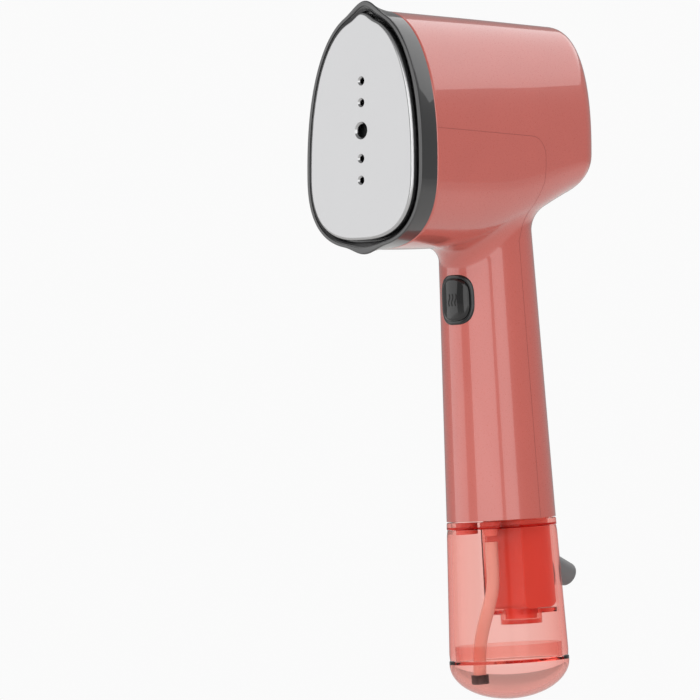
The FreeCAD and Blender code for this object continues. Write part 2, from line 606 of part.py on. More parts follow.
def make_button():
    """Steam button with its surround, spring, switch, switch plunger and the plate that carries the switch."""
    surround = button_prism(BUTTON_HALF_WIDTH, BUTTON_HALF_HEIGHT)
    inner_width = BUTTON_HALF_WIDTH - BUTTON_RING
    inner_height = BUTTON_HALF_HEIGHT - BUTTON_RING
    surround = surround.cut(button_prism(inner_width, inner_height, -41.0, -7.0))
    surround = surround.common(grip_cone(4.0, 44.0, -0.5)).cut(grip_cone(0.0, 48.0, 4.2))
    export("button_surround", grip(surround))

    cap = button_prism(inner_width - GAP / 2, inner_height - GAP / 2)
    cap = cap.common(grip_cone(4.0, 44.0, -1.5)).cut(grip_cone(0.0, 48.0, 2.4))
    rim = [e for e in cap.Edges if e.BoundBox.YMax < -16.5 and e.BoundBox.YMin < -21.5]
    try:
        cap = cap.makeFillet(1.1, rim)
    except Part.OCCError:
        print("steam_button: edge left square")
    stem = cylinder(STEM_R, Vector(0, -19.5, -BUTTON_S), Vector(0, STEM_END_V, -BUTTON_S))
    export("steam_button", grip(cap.fuse(stem)))

    spring = helix_spring(Vector(0, 0, 0), SPRING_LENGTH, STEM_R + 0.7, SPRING_WIRE_R, SPRING_TURNS)
    spring.rotate(Vector(0, 0, 0), Vector(1, 0, 0), -90)
    spring.translate(Vector(0, SPRING_START_V, -BUTTON_S))
    export("button_spring", grip(spring))

    switch = box(Vector(-3.2, SWITCH_FRONT_V, -BUTTON_S - 10), Vector(3.2, SWITCH_PLATE_V, -BUTTON_S + 10))
    switch = switch.cut(cylinder(PLUNGER_R + 0.05, Vector(0, SWITCH_FRONT_V - 1, -BUTTON_S),
                                 Vector(0, SWITCH_FRONT_V + 6, -BUTTON_S)))
    export("steam_switch", grip(switch))
    plunger = cylinder(PLUNGER_R, Vector(0, STEM_END_V + 0.05, -BUTTON_S), Vector(0, SWITCH_FRONT_V + 3.5, -BUTTON_S))
    export("switch_plunger", grip(plunger))

    plate = box(Vector(-SWITCH_SCREW_X - 3, SWITCH_PLATE_V, -BUTTON_S - 11),
                Vector(SWITCH_SCREW_X + 3, SWITCH_PLATE_V + 2, -BUTTON_S + 11))
    holes = [Vector(side * SWITCH_SCREW_X, SWITCH_PLATE_V, -BUTTON_S) for side in (-1, 1)]
    for hole in holes:
        plate = plate.cut(cylinder(SCREW_R + 0.1, hole - Vector(0, 1, 0), hole + Vector(0, 3, 0)))
    export("switch_plate", grip(plate))
    export("switch_screws", *[grip(screw(hole + Vector(0, 2, 0), Vector(0, -1, 0), 8.0)) for hole in holes])


# ---- pump -----------------------------------------------------------------------------------------------
def make_pump():
    """Solenoid pump in its cradle with rubber grommets, piston, spring, and the two water hoses."""
    bottom = PUMP_TOP + PUMP_LENGTH
    core_top = PUMP_TOP + 2
    core_bottom = bottom - 2
    body = box(Vector(-10, -10, -core_bottom), Vector(10, 10, -core_top))
    body = body.fuse(cylinder(NIPPLE_R, Vector(0, 0, -PUMP_TOP + 7), Vector(0, 0, -bottom - 5)))
    body = body.cut(cylinder(0.9, Vector(0, 0, -PUMP_TOP + 8), Vector(0, 0, -bottom - 6)))
    body = body.cut(cylinder(PISTON_R + 0.05, Vector(0, 0, -core_top - 3), Vector(0, 0, -core_bottom + 3)))
    export("pump_body", grip(body))
    piston_top = core_top + 3 + PISTON_STROKE + 3.5
    piston_bottom = core_bottom - 3 - 0.4
    piston = ring(PISTON_R, 0.9, Vector(0, 0, -piston_top), Vector(0, 0, -piston_bottom))
    export("pump_piston", grip(piston))
    spring = helix_spring(Vector(0, 0, -piston_top + 0.5), PISTON_STROKE + 2.2, PUMP_SPRING_R, SPRING_WIRE_R, SPRING_TURNS)
    export("pump_spring", grip(spring))

    cradle = box(Vector(-11, CRADLE_BACK - 2, -bottom), Vector(11, CRADLE_BACK, -PUMP_TOP))
    for s in (PUMP_TOP, bottom - 2):
        cradle = cradle.fuse(box(Vector(-8, -7, -s - 2), Vector(8, CRADLE_BACK, -s)))
    cradle = cradle.cut(cylinder(GROMMET_R, Vector(0, 0, -bottom - 1), Vector(0, 0, -PUMP_TOP + 1)))
    for x, s in CRADLE_SCREWS:
        cradle = cradle.cut(cylinder(SCREW_R + 0.1, Vector(x, CRADLE_BACK - 3, -s), Vector(x, CRADLE_BACK + 1, -s)))
    export("pump_cradle", grip(cradle))
    grommets = [ring(GROMMET_R, NIPPLE_R, Vector(0, 0, -s), Vector(0, 0, -s - 2)) for s in (PUMP_TOP, bottom - 2)]
    export("pump_grommets", *[grip(grommet) for grommet in grommets])
    export("cradle_screws", *[grip(screw(Vector(x, CRADLE_BACK - 2, -s), Vector(0, 1, 0), 4.2))
                              for x, s in CRADLE_SCREWS])

    suction = tube([Vector(0, SPOUT_V, -DOCK_TOP + 0.5), Vector(0, SPOUT_V, -107.0), Vector(0, 0, -101.0),
                    Vector(0, 0, -bottom - 0.5)], 4.0, HOSE_R, NIPPLE_R)
    export("suction_hose", grip(suction))
    start = Vector(0, 0, -PUMP_TOP + 0.5)
    climb = [start, Vector(0, 0, -50.0), Vector(0, 7.0, -42.0), Vector(0, 7.0, 2.0)]
    turn = FreeCAD.Placement(NECK, FreeCAD.Rotation(Vector(1, 0, 0), GRIP_LEAN))
    route = [turn.multVec(point) for point in climb]
    route += [Vector(0, 62.0, NOZZLE_Z), Vector(0, COVER_BACK + 2.2, NOZZLE_Z)]
    export("delivery_hose", tube(route, 6.0, HOSE_R, NIPPLE_R))


# ---- electronics ----------------------------------------------------------------------------------------
def make_electronics():
    """Control board under the top of the head, its components, and the leads."""
    board = box(Vector(-17, 54, BOARD_TOP - 1.6), Vector(17, 101, BOARD_TOP))
    for x, y in BOARD_SCREWS:
        board = board.cut(cylinder(SCREW_R + 0.1, Vector(x, y, BOARD_TOP - 3), Vector(x, y, BOARD_TOP + 1)))
    export("control_board", board)
    relay = box(Vector(-9, 62, BOARD_TOP), Vector(6, 74, BOARD_TOP + 12))
    capacitor = cylinder(4.0, Vector(-5, 84, BOARD_TOP), Vector(-5, 84, BOARD_TOP + 13))
    resistor = cylinder(1.5, Vector(3, 79, BOARD_TOP + 1.5), Vector(3, 90, BOARD_TOP + 1.5))
    terminal = box(Vector(-8, 92, BOARD_TOP), Vector(8, 99, BOARD_TOP + 9))
    export("board_components", relay, capacitor, resistor, terminal)
    export("board_screws", *[screw(Vector(x, y, BOARD_TOP - 1.6), Vector(0, 0, 1), 8.0) for x, y in BOARD_SCREWS])

    turn = FreeCAD.Placement(NECK, FreeCAD.Rotation(Vector(1, 0, 0), GRIP_LEAN))
    leads = []
    for side in (-1, 1):
        climb = [Vector(side * 3, 13, -127.5), Vector(side * 3, 13, -116), Vector(side * 3, 16.2, -108),
                 Vector(side * 3, 16.2, -56), Vector(side * 3, 14.2, -44), Vector(side * 3, 14.2, 10)]
        route = [turn.multVec(point) for point in climb]
        route += [Vector(side * 3, 95.5, -18.0), Vector(side * 3, 95.5, BOARD_TOP - 1.6)]
        leads.append(tube(route, 5.0, LEAD_R))
    export("mains_leads", *leads)
    leads = []
    for side in (-1, 1):
        route = [Vector(side * HEATER_X, HEATER_END_Y + 5, HEATER_TOP), Vector(side * HEATER_X, 54, HEATER_TOP),
                 Vector(side * 14, 64, BOARD_TOP - 9), Vector(side * 14, 64, BOARD_TOP - 1.6)]
        leads.append(tube(route, 3.0, LEAD_R))
    export("heater_leads", *leads)


# ---- dock and cord entry --------------------------------------------------------------------------------
def spine_block(grow=0.0, depth=0.0):
    """Form of the dock's spine, or with a margin the pocket that it sits in."""
    low = Vector(-SPINE_HALF_WIDTH - grow, SPINE_FRONT - grow, -GRIP_LENGTH - SPINE_LENGTH - grow)
    return box(low, Vector(SPINE_HALF_WIDTH + grow, 40, -GRIP_LENGTH + depth))


def gland_axis():
    """Point where the gland leaves the spine, and its direction."""
    drop = math.radians(GLAND_DROP)
    s = GRIP_LENGTH + GLAND_DEPTH
    return Vector(0, grip_radius(s), -s), Vector(0, math.cos(drop), -math.sin(drop))


def make_dock():
    """Dock floor, spine, foot and water spout in one moulding, with the gland and the cord clamp inside it."""
    floor_radius = grip_radius(GRIP_LENGTH) - WALL - 0.1
    floor = cylinder(floor_radius, Vector(0, 0, -GRIP_LENGTH), Vector(0, 0, -DOCK_TOP))
    spine = spine_block().common(grip_cone(GRIP_LENGTH, GRIP_LENGTH + TANK_LENGTH))
    low_edges = [e for e in spine.Edges if e.BoundBox.ZMax < -GRIP_LENGTH - SPINE_LENGTH + 0.2]
    spine = spine.makeFillet(3.0, [e for e in low_edges if e.BoundBox.YMax < SPINE_FRONT + 0.1])
    try:
        rear_edge = [e for e in spine.Edges if e.BoundBox.ZMax < -GRIP_LENGTH - SPINE_LENGTH + 0.2
                     and e.BoundBox.YMin > 20]
        spine = spine.makeFillet(6.0, rear_edge)
    except Part.OCCError:
        print("tank_dock: rear edge left square")
    bottom = GRIP_LENGTH + SPINE_LENGTH
    foot = cylinder(SPINE_BOSS_R, Vector(0, SPINE_BOSS_V, -bottom + 1),
                    Vector(0, SPINE_BOSS_V, -bottom - SPINE_BOSS_LENGTH))
    hollow = box(Vector(-SPINE_HALF_WIDTH + WALL, SPINE_FRONT + WALL, -bottom + 3.0),
                 Vector(SPINE_HALF_WIDTH - WALL, 40, -DOCK_TOP + 1))
    hollow = hollow.common(grip_cone(DOCK_TOP - 2, GRIP_LENGTH + TANK_LENGTH, WALL + 0.1))
    spout = cylinder(SPOUT_R, Vector(0, SPOUT_V, -GRIP_LENGTH + 1), Vector(0, SPOUT_V, -GRIP_LENGTH - 7))
    nipple = cylinder(NIPPLE_R, Vector(0, SPOUT_V, -GRIP_LENGTH), Vector(0, SPOUT_V, -DOCK_TOP + 5.5))
    dock = floor.fuse(spine).fuse(foot)
    dock = dock.cut(hollow).fuse(spout).fuse(nipple)
    dock = dock.cut(cylinder(1.1, Vector(0, SPOUT_V, -GRIP_LENGTH - 8), Vector(0, SPOUT_V, -DOCK_TOP + 7)))
    root, heading = gland_axis()
    dock = dock.cut(cylinder(GLAND_R, root - heading * 6, root + heading * 4))
    for x, v in DOCK_SCREWS:
        dock = dock.cut(cylinder(SCREW_R + 0.1, Vector(x, v, -GRIP_LENGTH - 1), Vector(x, v, -DOCK_TOP + 1)))
        dock = dock.cut(cylinder(SCREW_HEAD_R + 0.1, Vector(x, v, -GRIP_LENGTH - 1),
                                 Vector(x, v, -GRIP_LENGTH + SCREW_HEAD_H)))
    export("tank_dock", grip(dock))
    export("dock_screws", *[grip(screw(Vector(x, v, -GRIP_LENGTH + SCREW_HEAD_H), Vector(0, 0, 1), 9.5))
                            for x, v in DOCK_SCREWS])

    gland = cylinder(GLAND_R, root - heading * 4.8, root + heading * GLAND_REACH)
    gland = gland.makeFillet(1.8, [e for e in gland.Edges if e.BoundBox.YMin > root.y + GLAND_REACH * 0.5
                                   and e.Length < 2.2 * math.pi * GLAND_R and len(e.Vertexes) == 1])
    gland = gland.cut(cylinder(GLAND_BORE, root - heading * 12, root + heading * (GLAND_REACH + 3)))
    export("cord_gland", grip(gland))

    clamp = box(Vector(-7.5, 6.0, -132.5), Vector(7.5, 11.0, -128.0))
    clamp = clamp.cut(cylinder(3.4, Vector(0, 12.5, -134), Vector(0, 12.5, -127)))
    pad = box(Vector(-7.5, SPINE_FRONT + WALL, -132.5), Vector(7.5, 6.0, -128.0))
    clamp = clamp.fuse(pad)
    export("cord_clamp", grip(clamp))


# ---- tank -----------------------------------------------------------------------------------------------
def make_tank():
    """Clear tank that wraps around the spine, with its lid, base, seal, plug, pickup tube and strainer weight."""
    top = GRIP_LENGTH + GAP
    lid_end = top + LID_DEPTH
    end = GRIP_LENGTH + TANK_LENGTH
    pocket = spine_block(TANK_TRAVEL_CLEARANCE, 2.0)
    foot_floor = GRIP_LENGTH + SPINE_LENGTH + SPINE_BOSS_LENGTH
    foot_pocket = cylinder(SPINE_BOSS_R + 0.4, Vector(0, SPINE_BOSS_V, -150), Vector(0, SPINE_BOSS_V, -foot_floor - 0.4))
    pocket = pocket.fuse(foot_pocket)
    liner = spine_block(TANK_TRAVEL_CLEARANCE + TANK_WALL - 0.4, 2.0)
    foot_liner = cylinder(SPINE_BOSS_R + 2.2, Vector(0, SPINE_BOSS_V, -150), Vector(0, SPINE_BOSS_V, -foot_floor - 2.2))
    liner = liner.fuse(foot_liner)

    wall = grip_cone(lid_end, end)
    inside = grip_cone(lid_end - 1, end + 1, TANK_WALL)
    tank = wall.cut(inside.cut(liner)).cut(pocket)
    export("water_tank", grip(tank))

    lid = grip_cone(top, lid_end)
    rim = grip_cone(lid_end - 0.1, lid_end + 2.2, TANK_WALL + 0.1)
    rim = rim.cut(grip_cone(lid_end - 1, lid_end + 3, TANK_WALL + 1.5)).cut(
        spine_block(TANK_TRAVEL_CLEARANCE + TANK_WALL, 3.0))
    well = cylinder(WELL_R, Vector(0, SPOUT_V, -top), Vector(0, SPOUT_V, -WELL_END))
    stem = cylinder(PICKUP_R + 1.3, Vector(0, SPOUT_V, -WELL_END + 1), Vector(0, SPOUT_V, -WELL_END - 4))
    lid = lid.fuse(rim).fuse(well).fuse(stem).cut(pocket)
    lid = lid.cut(cylinder(SEAL_R, Vector(0, SPOUT_V, -top + 1), Vector(0, SPOUT_V, -top - 3.2)))
    lid = lid.cut(cylinder(SOCKET_R, Vector(0, SPOUT_V, -top - 3), Vector(0, SPOUT_V, -WELL_END + 1.2)))
    lid = lid.cut(cylinder(1.6, Vector(0, SPOUT_V, -top - 3), Vector(0, SPOUT_V, -WELL_END - 5)))
    lid = lid.cut(cylinder(PICKUP_R, Vector(0, SPOUT_V, -WELL_END - 0.5), Vector(0, SPOUT_V, -WELL_END - 5)))
    lid = lid.cut(cylinder(PLUG_R, Vector(*PLUG_PLACE, -top + 1), Vector(*PLUG_PLACE, -lid_end - 3)))
    export("tank_lid", grip(lid))
    export("tank_seal", grip(ring(SEAL_R, SPOUT_R + 0.05, Vector(0, SPOUT_V, -top - 0.4),
                                  Vector(0, SPOUT_V, -top - 3.2))))
    plug = cylinder(PLUG_R, Vector(*PLUG_PLACE, -top - 0.5), Vector(*PLUG_PLACE, -lid_end - 2.5))
    plug = plug.cut(cylinder(PLUG_R - 1.4, Vector(*PLUG_PLACE, -top - 2.2), Vector(*PLUG_PLACE, -lid_end - 3)))
    export("fill_plug", grip(plug))

    export("tank_base", grip(base_shape()))

    route = [Vector(0, SPOUT_V, -WELL_END - 0.5), Vector(0, SPOUT_V, -147), Vector(-3.2, -8.6, -160),
             Vector(-7.2, -9.8, -172), Vector(-8.6, -9.9, -180), Vector(-8.6, -9.9, -187)]
    export("pickup_tube", grip(tube(route, 10.0, PICKUP_R, PICKUP_R - 1.0)))
    weight = ring(PICKUP_R + 1.0, PICKUP_R - 0.9, Vector(-8.6, -9.9, -187.02), Vector(-8.6, -9.9, -191.0))
    export("pickup_strainer", grip(weight))


def base_shape():
    """Tank base: a short rim and an elliptical bowl below it, with a flange that is welded inside the wall."""
    end = GRIP_LENGTH + TANK_LENGTH
    radius = grip_radius(end) + 0.1
    level = -end - BASE_RIM

    def bowl(reach, depth):
        """Half-ellipse of revolution below the rim."""
        shape = Part.makeSphere(reach, Vector(0, 0, 0), Vector(0, 0, 1), -90, 0)
        matrix = FreeCAD.Matrix()
        matrix.scale(1, 1, depth / reach)
        shape = shape.transformGeometry(matrix)
        shape.translate(Vector(0, 0, level))
        return shape

    outer = bowl(radius, BASE_DOME).fuse(cylinder(radius, Vector(0, 0, level), Vector(0, 0, -end - 0.25)))
    body = outer.cut(bowl(radius - TANK_WALL, BASE_DOME - TANK_WALL))
    flange = cylinder(grip_radius(end - 6) - TANK_WALL - 0.05, Vector(0, 0, -end - 1), Vector(0, 0, -end + 6))
    body = body.fuse(flange)
    return body.cut(cylinder(radius - 2 * TANK_WALL, Vector(0, 0, level - 2), Vector(0, 0, -end + 8)))


def main():
    """Build and write every node."""
    os.makedirs(OUT, exist_ok=True)
    make_housings()
    make_soleplate()
    make_bezel()
    make_chamber()
    make_button()
    make_pump()
    make_electronics()
    make_dock()
    make_tank()


main()
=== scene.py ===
import logging
import math
from collections.abc import Callable
from dataclasses import dataclass
from enum import Enum

import bpy
import numpy as np
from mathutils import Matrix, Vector


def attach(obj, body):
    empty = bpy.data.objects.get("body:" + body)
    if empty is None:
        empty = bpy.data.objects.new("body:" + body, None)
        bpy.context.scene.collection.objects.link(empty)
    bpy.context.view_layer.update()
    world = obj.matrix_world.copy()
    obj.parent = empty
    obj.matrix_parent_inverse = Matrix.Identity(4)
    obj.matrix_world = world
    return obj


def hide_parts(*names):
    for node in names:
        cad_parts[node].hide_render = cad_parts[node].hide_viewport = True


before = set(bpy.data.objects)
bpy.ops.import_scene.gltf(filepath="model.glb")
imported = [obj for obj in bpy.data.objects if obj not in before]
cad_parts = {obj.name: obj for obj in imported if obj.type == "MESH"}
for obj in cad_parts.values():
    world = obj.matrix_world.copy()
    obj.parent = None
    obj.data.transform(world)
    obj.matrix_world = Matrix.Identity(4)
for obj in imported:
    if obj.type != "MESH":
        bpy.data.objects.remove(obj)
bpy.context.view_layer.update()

LOG = logging.getLogger("steamer")
MM = 0.001
HOUSING = "housing"
BUTTON = "button"
TANK = "tank"


# ---- colour and nodes ----
def linear(hex_colour: str) -> tuple[float, float, float, float]:
    """Turn an sRGB hex colour into linear light.

    Args:
        hex_colour: six digits after a hash.

    Returns:
        Red, green, blue and an alpha of 1.
    """
    values = [int(hex_colour[i:i + 2], 16) / 255 for i in (1, 3, 5)]
    red, green, blue = [v / 12.92 if v <= 0.04045 else ((v + 0.055) / 1.055) ** 2.4 for v in values]
    return red, green, blue, 1.0


def add_node(tree: bpy.types.NodeTree, kind: str, settings: dict | None = None,
             links: dict | None = None) -> bpy.types.Node:
    """Add one node, set its properties and unlinked sockets, and link its inputs.

    Args:
        tree: the node tree it goes in.
        kind: the node's type name.
        settings: property names or input socket names with their values.
        links: input socket names or numbers with the output socket that feeds each.

    Returns:
        The new node.
    """
    node = tree.nodes.new(kind)
    for name, value in (settings or {}).items():
        if isinstance(name, str) and hasattr(node, name):
            setattr(node, name, value)
        else:
            node.inputs[name].default_value = value
    for name, output in (links or {}).items():
        tree.links.new(output, node.inputs[name])
    return node


class Grain(Enum):
    """How a surface was made, which sets the pattern of its bump."""
    MOULDED = "moulded"
    BRUSHED = "brushed"
    CAST = "cast"


@dataclass(frozen=True)
class Finish:
    """One material: what it is, how its surface was made, and what that gives the eye."""
    name: str
    colour: str
    roughness: float
    metallic: float = 0.0
    ior: float = 1.5
    coat: float = 0.0
    grain: Grain = Grain.MOULDED
    grain_mm: float = 0.6
    grain_depth_mm: float = 0.004
    tone_shift: float = 0.04

    def build(self) -> bpy.types.Material:
        """Make the node material: a slow tone drift, a fine grain in roughness and bump.

        Returns:
            The material.
        """
        material = bpy.data.materials.new(self.name)
        material.use_nodes = True
        tree = material.node_tree
        shader = tree.nodes["Principled BSDF"]
        base = linear(self.colour)
        place = add_node(tree, "ShaderNodeTexCoord")
        stretch = (1.0, 1.0, 0.06) if self.grain is Grain.BRUSHED else (1.0, 1.0, 1.0)
        mapping = add_node(tree, "ShaderNodeMapping", {"Scale": stretch}, {"Vector": place.outputs["Object"]})
        drift = add_node(tree, "ShaderNodeTexNoise", {"Scale": 1 / (18 * MM), "Detail": 2.0},
                         {"Vector": place.outputs["Object"]})
        darker = tuple(c * (1 - self.tone_shift) for c in base[:3]) + (1.0,)
        lighter = tuple(min(1.0, c * (1 + self.tone_shift)) for c in base[:3]) + (1.0,)
        tone = add_node(tree, "ShaderNodeMix", {"data_type": "RGBA", "A": darker, "B": lighter},
                        {"Factor": drift.outputs["Fac"]})
        colour_out = next(s for s in tone.outputs if s.type == "RGBA")
        tree.links.new(colour_out, shader.inputs["Base Color"])
        grain = add_node(tree, "ShaderNodeTexNoise", {"Scale": 1 / (self.grain_mm * MM), "Detail": 3.0},
                         {"Vector": mapping.outputs["Vector"]})
        rough = add_node(tree, "ShaderNodeMapRange", {"To Min": self.roughness * 0.85,
                                                      "To Max": min(1.0, self.roughness * 1.2)},
                         {"Value": grain.outputs["Fac"]})
        tree.links.new(rough.outputs["Result"], shader.inputs["Roughness"])
        bump = add_node(tree, "ShaderNodeBump", {"Strength": 0.5, "Distance": self.grain_depth_mm * MM},
                        {"Height": grain.outputs["Fac"]})
        tree.links.new(bump.outputs["Normal"], shader.inputs["Normal"])
        shader.inputs["Metallic"].default_value = self.metallic
        shader.inputs["IOR"].default_value = self.ior
        shader.inputs["Coat Weight"].default_value = self.coat
        shader.inputs["Coat Roughness"].default_value = 0.03
        return material


@dataclass(frozen=True)
class ClearPlastic:
    """Tinted clear plastic: light passes the wall, and long ways through it take up the tint.

    The IOR is below the real one of about 1.57, which bends the view of the spine too much in so thin a wall.
    """
    name: str
    tint: str
    deep: str
    absorb_per_m: float
    shade: str = "#FFECE8"
    roughness: float = 0.02
    ior: float = 1.2

    def build(self) -> bpy.types.Material:
        """Make a transmitting surface over an absorbing volume.

        Returns:
            The material.
        """
        material = bpy.data.materials.new(self.name)
        material.use_nodes = True
        tree = material.node_tree
        shader = tree.nodes["Principled BSDF"]
        place = add_node(tree, "ShaderNodeTexCoord")
        waves = add_node(tree, "ShaderNodeTexNoise", {"Scale": 1 / (9 * MM), "Detail": 1.0},
                         {"Vector": place.outputs["Object"]})
        bump = add_node(tree, "ShaderNodeBump", {"Strength": 0.2, "Distance": 0.01 * MM},
                        {"Height": waves.outputs["Fac"]})
        tree.links.new(bump.outputs["Normal"], shader.inputs["Normal"])
        shader.inputs["Base Color"].default_value = linear(self.tint)
        shader.inputs["Roughness"].default_value = self.roughness
        shader.inputs["IOR"].default_value = self.ior
        shader.inputs["Transmission Weight"].default_value = 1.0
        path = add_node(tree, "ShaderNodeLightPath")
        through = add_node(tree, "ShaderNodeMath", {"operation": "MAXIMUM"},
                           {0: path.outputs["Is Shadow Ray"], 1: path.outputs["Is Diffuse Ray"]})
        clear = add_node(tree, "ShaderNodeBsdfTransparent", {"Color": linear(self.shade)})
        mix = add_node(tree, "ShaderNodeMixShader", {},
                       {0: through.outputs["Value"], 1: shader.outputs["BSDF"], 2: clear.outputs["BSDF"]})
        tree.links.new(mix.outputs["Shader"], tree.nodes["Material Output"].inputs["Surface"])
        volume = add_node(tree, "ShaderNodeVolumeAbsorption",
                          {"Color": linear(self.deep), "Density": self.absorb_per_m})
        tree.links.new(volume.outputs["Volume"], tree.nodes["Material Output"].inputs["Volume"])
        return material


class Finishes:
    """Every finish on the object, built once and looked up by name."""

    def __init__(self) -> None:
        """Build all the materials."""
        opaque = [
            # moulded ABS with a high gloss: sharp reflections, no visible grain
            Finish("coral_gloss_abs", "#B8584E", 0.28, coat=1.0, grain_mm=0.4, grain_depth_mm=0.0003),
            # the same ABS off a duller mould, painted lighter than the housing to make up for the light that
            # the tinted tank takes from it, and the painted shade in the joint between two parts of it
            Finish("coral_dock_abs_painted_lighter", "#E29A90", 0.45),
            Finish("coral_seam_shadow", "#8E4039", 0.5),
            # dark grey ABS, polished mould
            Finish("graphite_gloss_abs", "#242425", 0.3, coat=1.0, grain_mm=0.4, grain_depth_mm=0.0003),
            # bead blasted and polished aluminium, which spreads reflections softly
            Finish("polished_aluminium", "#B4B4B5", 0.22, metallic=1.0, grain_mm=0.35, grain_depth_mm=0.003,
                   tone_shift=0.01),
            # black ABS with a lacquer over it, and the dull print on it
            Finish("piano_black_abs", "#060607", 0.35, ior=1.25, coat=0.8, grain_mm=0.4, grain_depth_mm=0.0003),
            Finish("matte_black_print", "#020202", 0.7),
            # soft mouldings: elastomer with a fine matt skin, silicone with a faint sheen
            Finish("grey_soft_elastomer", "#656566", 0.42, grain_mm=0.4, grain_depth_mm=0.02),
            Finish("coral_silicone", "#DB8178", 0.4, grain_mm=0.8),
            Finish("white_silicone", "#D9CFC8", 0.35, grain_mm=0.8),
            # metals: rough cast skin, rolled or drawn steel and turned brass with fine lines
            Finish("cast_aluminium", "#A9ABAD", 0.45, metallic=1.0, grain=Grain.CAST, grain_depth_mm=0.05),
            Finish("brushed_steel", "#9C9DA0", 0.3, metallic=1.0, grain=Grain.BRUSHED, grain_mm=0.3),
            Finish("turned_brass", "#C89B4A", 0.25, metallic=1.0, grain=Grain.BRUSHED, grain_mm=0.25),
            # plain mouldings, fired ceramic and lacquered board, none of them polished
            Finish("phenolic_resin", "#3A2018", 0.5),
            Finish("white_ceramic", "#E6E0D2", 0.4),
            Finish("natural_nylon", "#CFCDC5", 0.45),
            Finish("black_nylon", "#1B1B1D", 0.45),
            Finish("green_solder_mask", "#1F6B3A", 0.3, coat=0.3),
            Finish("brown_lead_sleeve", "#6A3F22", 0.45),
        ]
        self.by_name = {finish.name: finish.build() for finish in opaque}
        clear = ClearPlastic("clear_coral_san", "#FFF8F6", "#EF7A58", 175.0)
        self.by_name[clear.name] = clear.build()

    def put(self, piece: bpy.types.Object, name: str) -> None:
        """Give a piece one finish in every slot.

        Args:
            piece: the piece.
            name: the finish.
        """
        material = self.by_name[name]
        if not piece.data.materials:
            piece.data.materials.append(material)
        for index in range(len(piece.data.materials)):
            piece.data.materials[index] = material

    def fit(self, piece: bpy.types.Object, name: str, body: str,
            nodes: tuple[str, ...] = ()) -> None:
        """Give a piece its finish, tie it to its body and hide the design's nodes that it stands for.

        Args:
            piece: the finished piece.
            name: the finish.
            body: the body that it rides on.
            nodes: the design's nodes that it stands for.
        """
        self.put(piece, name)
        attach(piece, body)
        if nodes:
            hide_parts(*nodes)
        LOG.info("made %s on %s", piece.name, body)


# ---- shapes as arrays ----
def full_turn(count: int) -> np.ndarray:
    """Evenly spaced angles round a circle."""
    return np.linspace(0, 2 * math.pi, count, endpoint=False)


def quarter_turn(count: int) -> np.ndarray:
    """Evenly spaced angles from 0 to a right angle."""
    return np.linspace(0, math.pi / 2, count)


def unit(vectors: np.ndarray) -> np.ndarray:
    """Each vector of the last axis over its own length."""
    return vectors / np.linalg.norm(vectors, axis=-1, keepdims=True)


def circle(side: np.ndarray, up: np.ndarray, count: int) -> np.ndarray:
    """Points of a unit circle in the plane of two directions: side times cosine plus up times sine."""
    turn = full_turn(count)[:, None]
    return np.cos(turn) * side[..., None, :] + np.sin(turn) * up[..., None, :]


def power_wave(values: np.ndarray, power: float | np.ndarray) -> np.ndarray:
    """Signed power: keeps the sign of a sine or cosine while its size is raised to 2 / power."""
    return np.sign(values) * np.abs(values) ** (2 / power)


def egg(angle: np.ndarray, half: np.ndarray, top: np.ndarray, bottom: np.ndarray, level: np.ndarray,
        powers: tuple[float, float]) -> tuple[np.ndarray, np.ndarray]:
    """Two superellipse halves: X is half times the sine, Z is level plus height times the cosine.

    The sine and cosine are power waves.

    Args:
        angle: angle from straight up.
        half: half width.
        top: highest place.
        bottom: lowest place.
        level: height of the widest place, where the halves meet.
        powers: power of the upper and of the lower half.

    Returns:
        X and Z.
    """
    rise = np.cos(angle)
    power = np.where(rise >= 0, *powers)
    height = np.where(rise >= 0, top - level, level - bottom)
    return half * power_wave(np.sin(angle), power), level + height * power_wave(rise, power)


def turned_out(points: np.ndarray, faces: list) -> list:
    """Turn all faces round if they enclose a negative volume about the middle of the points.

    Args:
        points: N by 3 array.
        faces: tuples of point numbers.

    Returns:
        The faces, pointing outwards.
    """
    local = points - points.mean(axis=0)
    volume = 0.0
    for size in {len(face) for face in faces}:
        corners = local[np.array([face for face in faces if len(face) == size])]
        for k in range(1, size - 1):
            volume += np.sum(corners[:, 0] * np.cross(corners[:, k], corners[:, k + 1]))
    return faces if volume > 0 else [tuple(reversed(face)) for face in faces]


def mesh_piece(name: str, points: np.ndarray, faces: list, smooth: float = 40.0) -> bpy.types.Object:
    """Make an object from points in millimetres.

    Args:
        name: the piece's name.
        points: N by 3 array.
        faces: tuples of point numbers, turned outwards.
        smooth: the angle in degrees above which an edge stays sharp.

    Returns:
        The object, linked to the scene, with its place in its mesh.
    """
    mesh = bpy.data.meshes.new(name)
    points = np.asarray(points, float)
    mesh.from_pydata((points * MM).tolist(), [], turned_out(points, faces))
    mesh.validate()
    piece = bpy.data.objects.new(name, mesh)
    bpy.context.scene.collection.objects.link(piece)
    mesh.shade_smooth()
    sharpen(piece, smooth)
    return piece


def grid_faces(rows: int, columns: int, closed: bool, base: int = 0) -> list[tuple[int, int, int, int]]:
    """Quads of a grid of points numbered row by row.

    Args:
        rows: number of rows.
        columns: number of points in a row.
        closed: whether the last column meets the first.
        base: number of the grid's first point.

    Returns:
        The quads.
    """
    spans = columns if closed else columns - 1
    row, column = np.meshgrid(np.arange(rows - 1), np.arange(spans), indexing="ij")
    here = base + row * columns + column
    right = base + row * columns + (column + 1) % columns
    return np.stack([here, right, right + columns, here + columns], axis=-1).reshape(-1, 4).tolist()


